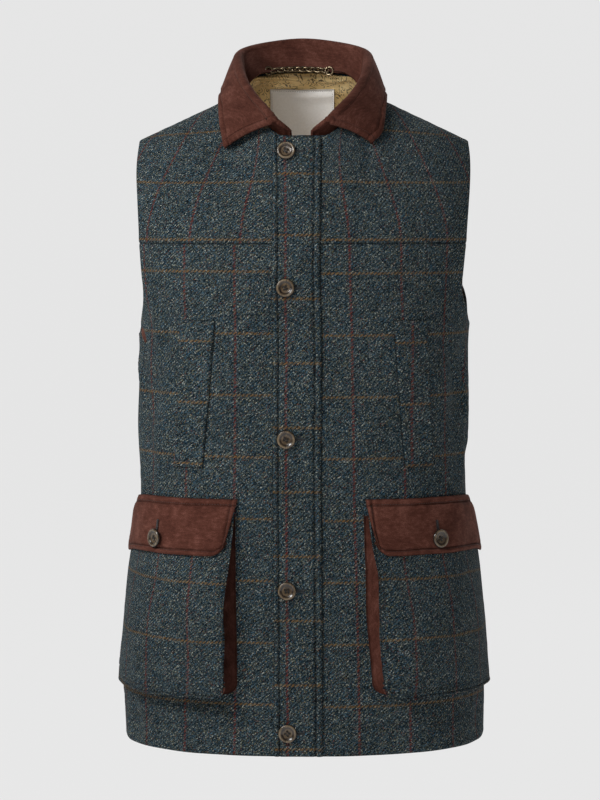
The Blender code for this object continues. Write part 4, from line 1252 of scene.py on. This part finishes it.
def armhole_loop(width, out, side):
    """Points round an armhole's edge and, width inside it, on the body: front tip, underarm, back tip."""
    upper = np.linspace(0, 1, 30)
    sides = []
    for front in (True, False):
        across = across_of(armhole_half(ARMHOLE_TURN), ARMHOLE_TURN, front) * upper
        low = FRONT_ROLL[0] if front else BACK_ROLL[0]
        x = SHOULDER_TIP + 0 * across
        for _ in range(3):
            z = low + (ridge(x) - low) * (1 - across**2)
            x = armhole_half(z) - width
        sides.append(laid(shoulder, x, across, out))
    turn = np.linspace(0, math.pi / 2, 18)[:-1]
    z_edge = UNDERARM + (ARMHOLE_TURN - UNDERARM) * (1 - np.cos(turn))
    turn_angle = angle_of(armhole_half(ARMHOLE_TURN), ARMHOLE_TURN)
    angle = math.pi / 2 - (math.pi / 2 - turn_angle) * np.sin(turn) ** FOOT_POINT[side]
    angle = angle - width * np.sin(turn) ** 1.5 / ARMHOLE_DEPTH
    behind = math.pi - angle - back_foot(z_edge, side)
    z = dropped(z_edge, side) - width * np.cos(turn) ** 0.8
    return np.concatenate([sides[0], laid(body, angle, z, out)[::-1], laid(body, behind, z, out)[1:],
                           sides[1][::-1][:-1]])


def make_facings():
    for name, side in pair("armhole_facing"):
        widths = np.linspace(FACING_START[side], FACING_WIDTH, FACING_ROWS)
        made = np.stack([armhole_loop(width, -CLOTH - LAYER, side) for width in widths])
        made = made * np.array([side, 1, 1])
        rows, columns = arcs(made)
        uv = np.stack([columns, rows], -1)
        item = shell(name, made, uv, LINING_WALL, [moleskin, moleskin], closed=True)


def make_lining(upper):
    """The lining: the back's own points, moved in."""
    inner = -outward_of(upper)
    spare = 14
    grid = (upper + inner * (WALL + 0.0009))[:, spare:-spare]
    reach = arcs(grid)[0]
    side_rise = LINING_RISE * bell(np.abs(grid[-1, :, 0]) - 0.0600, 0.0085)
    side_rise = (ease((reach - reach[-1:] + 0.030) / 0.030) * side_rise)[..., None]
    grid = grid + side_rise * (np.array([0, 0, 1]) + LINING_IN * inner[:, spare:-spare])
    rows, columns = arcs(grid)
    top = rows[-1:] - rows
    x = grid[..., 0]
    ripple = 0.0012 * bell(top - 0.031, 0.006) * (1 + np.sin(x * 45 + 0.5))
    for rise, place, width, bend, bends, start, least, beats in LINING_RIPPLES:
        across = top - place + bend * np.sin(x * bends + start)
        ripple = ripple + rise * bell(across, width) * (least + (1 - least) * np.cos(x * beats + start))
    grid = grid + inner[:, spare:-spare] * ripple[..., None]
    uv = np.stack([columns, rows], -1)
    item = shell("neck_lining", grid, uv, LINING_WALL, [satin, satin])
    return grid


def make_label(grid):
    """The label: a patch of the lining's points, moved out."""
    heights = grid[:, grid.shape[1] // 2, 2]
    spots = np.interp(np.linspace(LABEL_FOOT, LABEL_TOP, LABEL_ROWS), heights, np.arange(len(heights)))
    made = []
    for spot in spots:
        i = min(int(spot), len(grid) - 2)
        line = grid[i] + (grid[i + 1] - grid[i]) * (spot - i)
        across = np.linspace(-LABEL_HALF, LABEL_HALF, LABEL_COLUMNS) + LABEL_SHIFT
        y, z = (np.interp(across, line[:, 0], line[:, axis]) for axis in (1, 2))
        made.append(np.stack([across, y - LABEL_CLEAR, z], -1))
    label = np.array(made)
    rows, columns = arcs(label)
    bow = 0.0006 * (1 + np.sin(columns * 60)) * bell(rows - 0.03, 0.02)
    label[..., 1] -= bow
    outward = outward_of(label, hinge=None)
    if outward[0, 0, 1] > 0:
        outward = -outward
    uv = np.stack([columns, rows], -1)
    item = shell("neck_label", label, uv, LINING_WALL, [label_weave, label_weave], hinge=None)
    runs = [(label, outward, inset(label, edge, 0.0018, 0.002))
            for edge in ("first_column", "last_column", "last_row")]
    threads = stitch_runs("neck_label_stitches", runs, brown_thread, pitch=0.0026,
                          length=0.0018, radius=0.00018, lift=0.0004)


make_placket()
make_fronts()
make_yokes()
back_upper = make_back()
make_welts()
make_pockets()
make_gussets()
make_flaps()
make_collar()
make_facings()
make_label(make_lining(back_upper))

# Buttons
# The turned profile from the middle of the face over the rim to the back: radius, height
BUTTON_TURN = (
    (0.0000, 0.0022),
    (0.0030, 0.0021),
    (0.0052, 0.0023),
    (0.0063, 0.0029),
    (0.0071, 0.0036),
    (0.0082, 0.0040),
    (0.0092, 0.0037),
    (0.0098, 0.0029),
    (0.0100, 0.0020),
    (0.0097, 0.0010),
    (0.0088, 0.0003),
    (0.0070, 0.0000),
    (0.0000, 0.0000),
)
FACE_RINGS, FACE_RADIUS, BUTTON_STEPS = 15, 0.0052, 48
HOLE_OUT, HOLE_RADIUS, HOLE_DEPTH, HOLE_EDGE = 0.0022, 0.00125, 0.0016, 0.0006
BUTTON_LIFT, FLAP_BUTTON_LIFT = 0.0006, 0.0010
# Button threads: where across the button as shares of the holes' place, rise, length and radius
THREAD_SHARES = (-0.7, -0.525, 0.525, 0.7)
THREAD_RISE, THREAD_LENGTH, THREAD_RADIUS = 0.0026, 0.0050, 0.00060
# Buttonholes: where they start and stop from the button, pitch, and the sizes of the bars and of the slit's
# painted shade
PLACKET_HOLE, FLAP_HOLE, HOLE_PITCH = (0.009, 0.0185), (0.0085, 0.0195), 0.0006
BAR_STEP, BAR_LENGTH, BAR_RADIUS = 0.0011, 0.0020, 0.00032
SLIT_LENGTH, SLIT_RADIUS = 0.0012, 0.00062
SLIT_LIFT = 0.0002
# How far apart the two points are that give the way out of the cloth
PROBE = 0.01


def make_button(name, centre, normal, spin):
    """A turned disc with a raised rim, four sunk holes and its threads."""
    normal = normal / np.linalg.norm(normal)
    across = np.cross((0, 0, 1), normal)
    across /= np.linalg.norm(across)
    up = np.cross(normal, across)
    a, b = math.cos(spin), math.sin(spin)
    across, up = a * across + b * up, a * up - b * across
    profile = np.array(BUTTON_TURN)
    face = np.linspace(0, FACE_RADIUS, FACE_RINGS)
    radii = np.concatenate([face, profile[3:, 0]])
    heights = np.concatenate([np.interp(face, profile[:6, 0], profile[:6, 1]), profile[3:, 1]])
    turn = np.arange(BUTTON_STEPS) * 2 * math.pi / BUTTON_STEPS
    x = radii[:, None] * np.cos(turn)
    y = radii[:, None] * np.sin(turn)
    h = heights[:, None] + 0 * x
    for quarter in range(4):
        angle = math.radians(45 + 90 * quarter)
        off = np.hypot(x - HOLE_OUT * math.cos(angle), y - HOLE_OUT * math.sin(angle))
        h[:FACE_RINGS] -= (HOLE_DEPTH * ease((HOLE_RADIUS - off) / HOLE_EDGE))[:FACE_RINGS]
    points = centre + x[..., None] * across + y[..., None] * up + h[..., None] * normal
    faces = grid_faces(len(radii), BUTTON_STEPS, 0, True, False).tolist()
    uv = np.stack([x, y], -1).reshape(-1, 2)
    item = mesh_piece(name + "_disc", points.reshape(-1, 3).tolist(), faces, uv,
                      np.zeros(len(faces), int), [horn])
    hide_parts(name)
    centres = [centre + THREAD_RISE * normal + share * HOLE_OUT * across for share in THREAD_SHARES]
    grains(name + "_threads", np.array(centres), np.array([up] * 4), np.array([normal] * 4), THREAD_LENGTH,
           THREAD_RADIUS, black_thread_and_slit_shade)


def placket_spot(x, z, lift):
    """A point over the placket, and the way out of the cloth there."""
    if z > YOKE_SEAM:
        base, above = (laid(shoulder, x, across_of(np.array(x), z), lift + more) for more in (0, PROBE))
    else:
        base, above = (laid(body, angle_of(np.array(x), z), z, lift + more) for more in (0, PROBE))
    return base, (above - base) / PROBE


def flap_spot(name, side, z, lift):
    """A point over a flap's middle line, and the way out of the cloth there."""
    run = FLAP_BUTTON_SHARES[name] * POCKET_WIDTH
    z = np.array(z)
    base, above = (pocket_point(run, z, side, flap_out(run, z) + lift + more) for more in (0, PROBE))
    return base, (above - base) / PROBE


def make_buttons():
    for number, z in enumerate(BUTTON_HEIGHTS, 1):
        spot, normal = placket_spot(BUTTON_X, z, STEP_UP + LAYER + BUTTON_LIFT)
        make_button(f"button_{number}", spot, normal, 0.5 + 0.7 * number)
    for name, side in pair("flap_button"):
        spot, normal = flap_spot(name, side, FLAP_BUTTON_HEIGHT, FLAP_BUTTON_LIFT)
        make_button(name, spot, normal, 0.3 + side)


def worked_slits(holes, slits, spots, thread):
    """Bars of thread on both sides of a dark line, the painted shade of the slit.

    Each spot is a point, its normal, and the ways of the bars and of the slit."""
    base, normal, bar_way, slit_way = (np.array(part, float) for part in zip(*spots))
    bars = np.stack([base - BAR_STEP * bar_way, base + BAR_STEP * bar_way], 1).reshape(-1, 3)
    bar_way, bar_normal = np.repeat(bar_way, 2, axis=0), np.repeat(normal, 2, axis=0)
    grains(holes, bars, bar_way, bar_normal, BAR_LENGTH, BAR_RADIUS, thread)
    grains(slits, base, slit_way, normal, SLIT_LENGTH, SLIT_RADIUS, black_thread_and_slit_shade)


def make_buttonholes():
    spots = []
    for z in BUTTON_HEIGHTS:
        for x in np.arange(BUTTON_X + PLACKET_HOLE[0], BUTTON_X + PLACKET_HOLE[1], HOLE_PITCH):
            spot, normal = placket_spot(x, z, STEP_UP + LAYER + SLIT_LIFT)
            spots.append((spot, normal, (0, 0, 1), (1, 0, 0)))
    worked_slits("placket_buttonholes", "placket_slit_shade", spots, tweed_thread)
    spots = []
    for name, side in pair("flap_button"):
        for z in np.arange(FLAP_BUTTON_HEIGHT + FLAP_HOLE[0], FLAP_BUTTON_HEIGHT + FLAP_HOLE[1], HOLE_PITCH):
            spot, normal = flap_spot(name, side, z, LAYER)
            level = np.cross(normal, (0, 0, 1))
            spots.append((spot, normal, level / np.linalg.norm(level), (0, 0, 1)))
    worked_slits("flap_buttonholes", "flap_slit_shade", spots, brown_thread)


make_buttons()
make_buttonholes()

# Hanger chain
CHAIN_HALF, CHAIN_HEIGHT, CHAIN_SAG = 0.0335, 0.0262, -0.0024
CHAIN_CLEAR, CHAIN_SHIFT = 0.0042, -0.0048
LINK_COUNT, LINK_WIRE, LINK_HALF = 17, 0.00095, 0.0031
END_RING, END_WIRE = (0.0046, 0.0042), 1.2
# How links are turned round the chain, even and odd, in degrees
LINK_TURNS = (-50, 35)


def ring(centre, way, side, long_half, short_half, wire):
    """An oval ring of wire: points and faces."""
    turns, tube = 20, 6
    a = np.arange(turns) * 2 * math.pi / turns
    b = np.arange(tube) * 2 * math.pi / tube
    radial = np.cos(a)[:, None] * way * long_half + np.sin(a)[:, None] * side * short_half
    outward = np.cos(a)[:, None] * way * short_half + np.sin(a)[:, None] * side * long_half
    outward /= np.linalg.norm(outward, axis=-1, keepdims=True)
    flat = np.cross(way, side)
    round_wire = np.cos(b)[None, :, None] * outward[:, None] + np.sin(b)[None, :, None] * flat
    points = centre + radial[:, None] + wire * round_wire
    i, j = np.meshgrid(np.arange(turns), np.arange(tube), indexing="ij")
    k, m = (i + 1) % turns, (j + 1) % tube
    faces = np.stack([i * tube + j, i * tube + m, k * tube + m, k * tube + j], -1).reshape(-1, 4)
    return points.reshape(-1, 3), faces


def make_chain():
    rows = np.linspace(NAPE_ROW, NECK_SIDE_ROW, 25)
    stand = np.array([collar_section(row, 1)[:3 + STAND_STEPS] for row in rows])
    share = np.linspace(-1, 1, LINK_COUNT)
    x = share * CHAIN_HALF + CHAIN_SHIFT
    z = CHAIN_HEIGHT - CHAIN_SAG * (1 - share**2)
    y = []
    for across, height in zip(x, z):
        line = [np.interp(abs(across), stand[:, k, 0], stand[:, k, 1]) for k in range(stand.shape[1])]
        level = [np.interp(abs(across), stand[:, k, 0], stand[:, k, 2]) for k in range(stand.shape[1])]
        y.append(np.interp(height, level, line) - COLLAR_CLOTH / 2 - CHAIN_CLEAR)
    spots = np.stack([x, y, z], -1)
    ways = np.gradient(spots, axis=0)
    ways /= np.linalg.norm(ways, axis=-1, keepdims=True)
    points, faces, count = [], [], 0
    pitch = np.linalg.norm(spots[1] - spots[0])
    for number, (spot, way) in enumerate(zip(spots, ways)):
        flat = np.cross(way, (0, 1, 0))
        flat /= np.linalg.norm(flat)
        deep = np.cross(flat, way)
        lean = math.radians(LINK_TURNS[number % 2])
        side = math.cos(lean) * flat + math.sin(lean) * deep
        ends = number in (0, LINK_COUNT - 1)
        shape = END_RING if ends else (pitch * 0.5 + 1.5 * LINK_WIRE, LINK_HALF)
        made, quads = ring(spot, way, flat if ends else side, *shape, LINK_WIRE * (END_WIRE if ends else 1))
        points.append(made)
        faces.append(quads + count)
        count += len(made)
    points, faces = np.concatenate(points), np.concatenate(faces)
    item = mesh_piece("hanger_chain_links", points.tolist(), faces.tolist(), np.zeros((len(points), 2)),
                      np.zeros(len(faces), int), [old_brass])
    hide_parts("hanger_chain")


make_chain()

# Stage, light and camera
FLOOR = -1.0
FLOOR_GREY, FLOOR_GLOW, FLOOR_GLOW_STRENGTH = 0.06, 0.79, 0.97
# Lights: name, place, aim, size, energy
LIGHTS = (
    ("key", (-1.40, -1.3, 1.05), (-0.10, 0, 0.90), 0.9, 41),
    ("front", (-0.70, -2.1, 1.1), (0, 0, 0.70), 0.9, 8),
    ("fill", (2.6, -2.6, 0.9), (0, 0, -0.35), 2.4, 1.2),
    ("back", (0.4, 2.6, 1.8), (0, 0, -0.3), 2.4, 24),
)
SKY, SKY_STRENGTH = (0.80, 0.82, 0.85, 1), 0.11
CAMERA_PLACE, CAMERA_TILT, CAMERA_LENS, CAMERA_SENSOR = (-0.0037, -3.2, -0.117), 86.07, 130.9, 36


def make_stage():
    points, faces = [], []
    turn = np.linspace(0, math.pi / 2, 16)
    line = [(4.0 + 2 * math.sin(a), FLOOR + 2 * (1 - math.cos(a))) for a in turn]
    line = [(-6.0, FLOOR)] + line + [(6.0, 6.0)]
    for y, z in line:
        points += [(-9, y, z), (9, y, z)]
    for i in range(len(line) - 1):
        faces.append((2 * i, 2 * i + 1, 2 * i + 3, 2 * i + 2))
    mesh = bpy.data.meshes.new("floor")
    mesh.from_pydata(points, [], faces)
    mesh.shade_smooth()
    floor = bpy.data.objects.new("floor", mesh)
    bpy.context.scene.collection.objects.link(floor)
    material = bpy.data.materials.new("floor")
    material.use_nodes = True
    shader = material.node_tree.nodes["Principled BSDF"]
    shader.inputs["Base Color"].default_value = (FLOOR_GREY, FLOOR_GREY, FLOOR_GREY, 1)
    shader.inputs["Roughness"].default_value = 1.0
    shader.inputs["Specular IOR Level"].default_value = 0.0
    shader.inputs["Emission Color"].default_value = (FLOOR_GLOW, FLOOR_GLOW, FLOOR_GLOW, 1)
    shader.inputs["Emission Strength"].default_value = FLOOR_GLOW_STRENGTH
    mesh.materials.append(material)


def make_light(name, spot, aim, size, energy):
    light = bpy.data.lights.new(name, "AREA")
    light.shape = "DISK"
    light.size = size
    light.energy = energy
    lamp = bpy.data.objects.new(name, light)
    lamp.location = spot
    lamp.rotation_euler = (Vector(aim) - Vector(spot)).to_track_quat("-Z", "Y").to_euler()
    bpy.context.scene.collection.objects.link(lamp)


def make_camera():
    camera = bpy.data.cameras.new("camera")
    camera.sensor_fit = "VERTICAL"
    camera.sensor_height = CAMERA_SENSOR
    camera.lens = CAMERA_LENS
    camera.clip_end = 60
    item = bpy.data.objects.new("camera", camera)
    item.location = CAMERA_PLACE
    item.rotation_euler = (math.radians(CAMERA_TILT), 0, 0)
    bpy.context.scene.collection.objects.link(item)
    bpy.context.scene.camera = item


make_stage()
for light in LIGHTS:
    make_light(*light)
make_camera()
world = bpy.data.worlds.new("studio")
world.use_nodes = True
sky = world.node_tree.nodes["Background"].inputs
sky[0].default_value = SKY
sky[1].default_value = SKY_STRENGTH
bpy.context.scene.world = world
bpy.context.scene.view_settings.view_transform = "Standard"
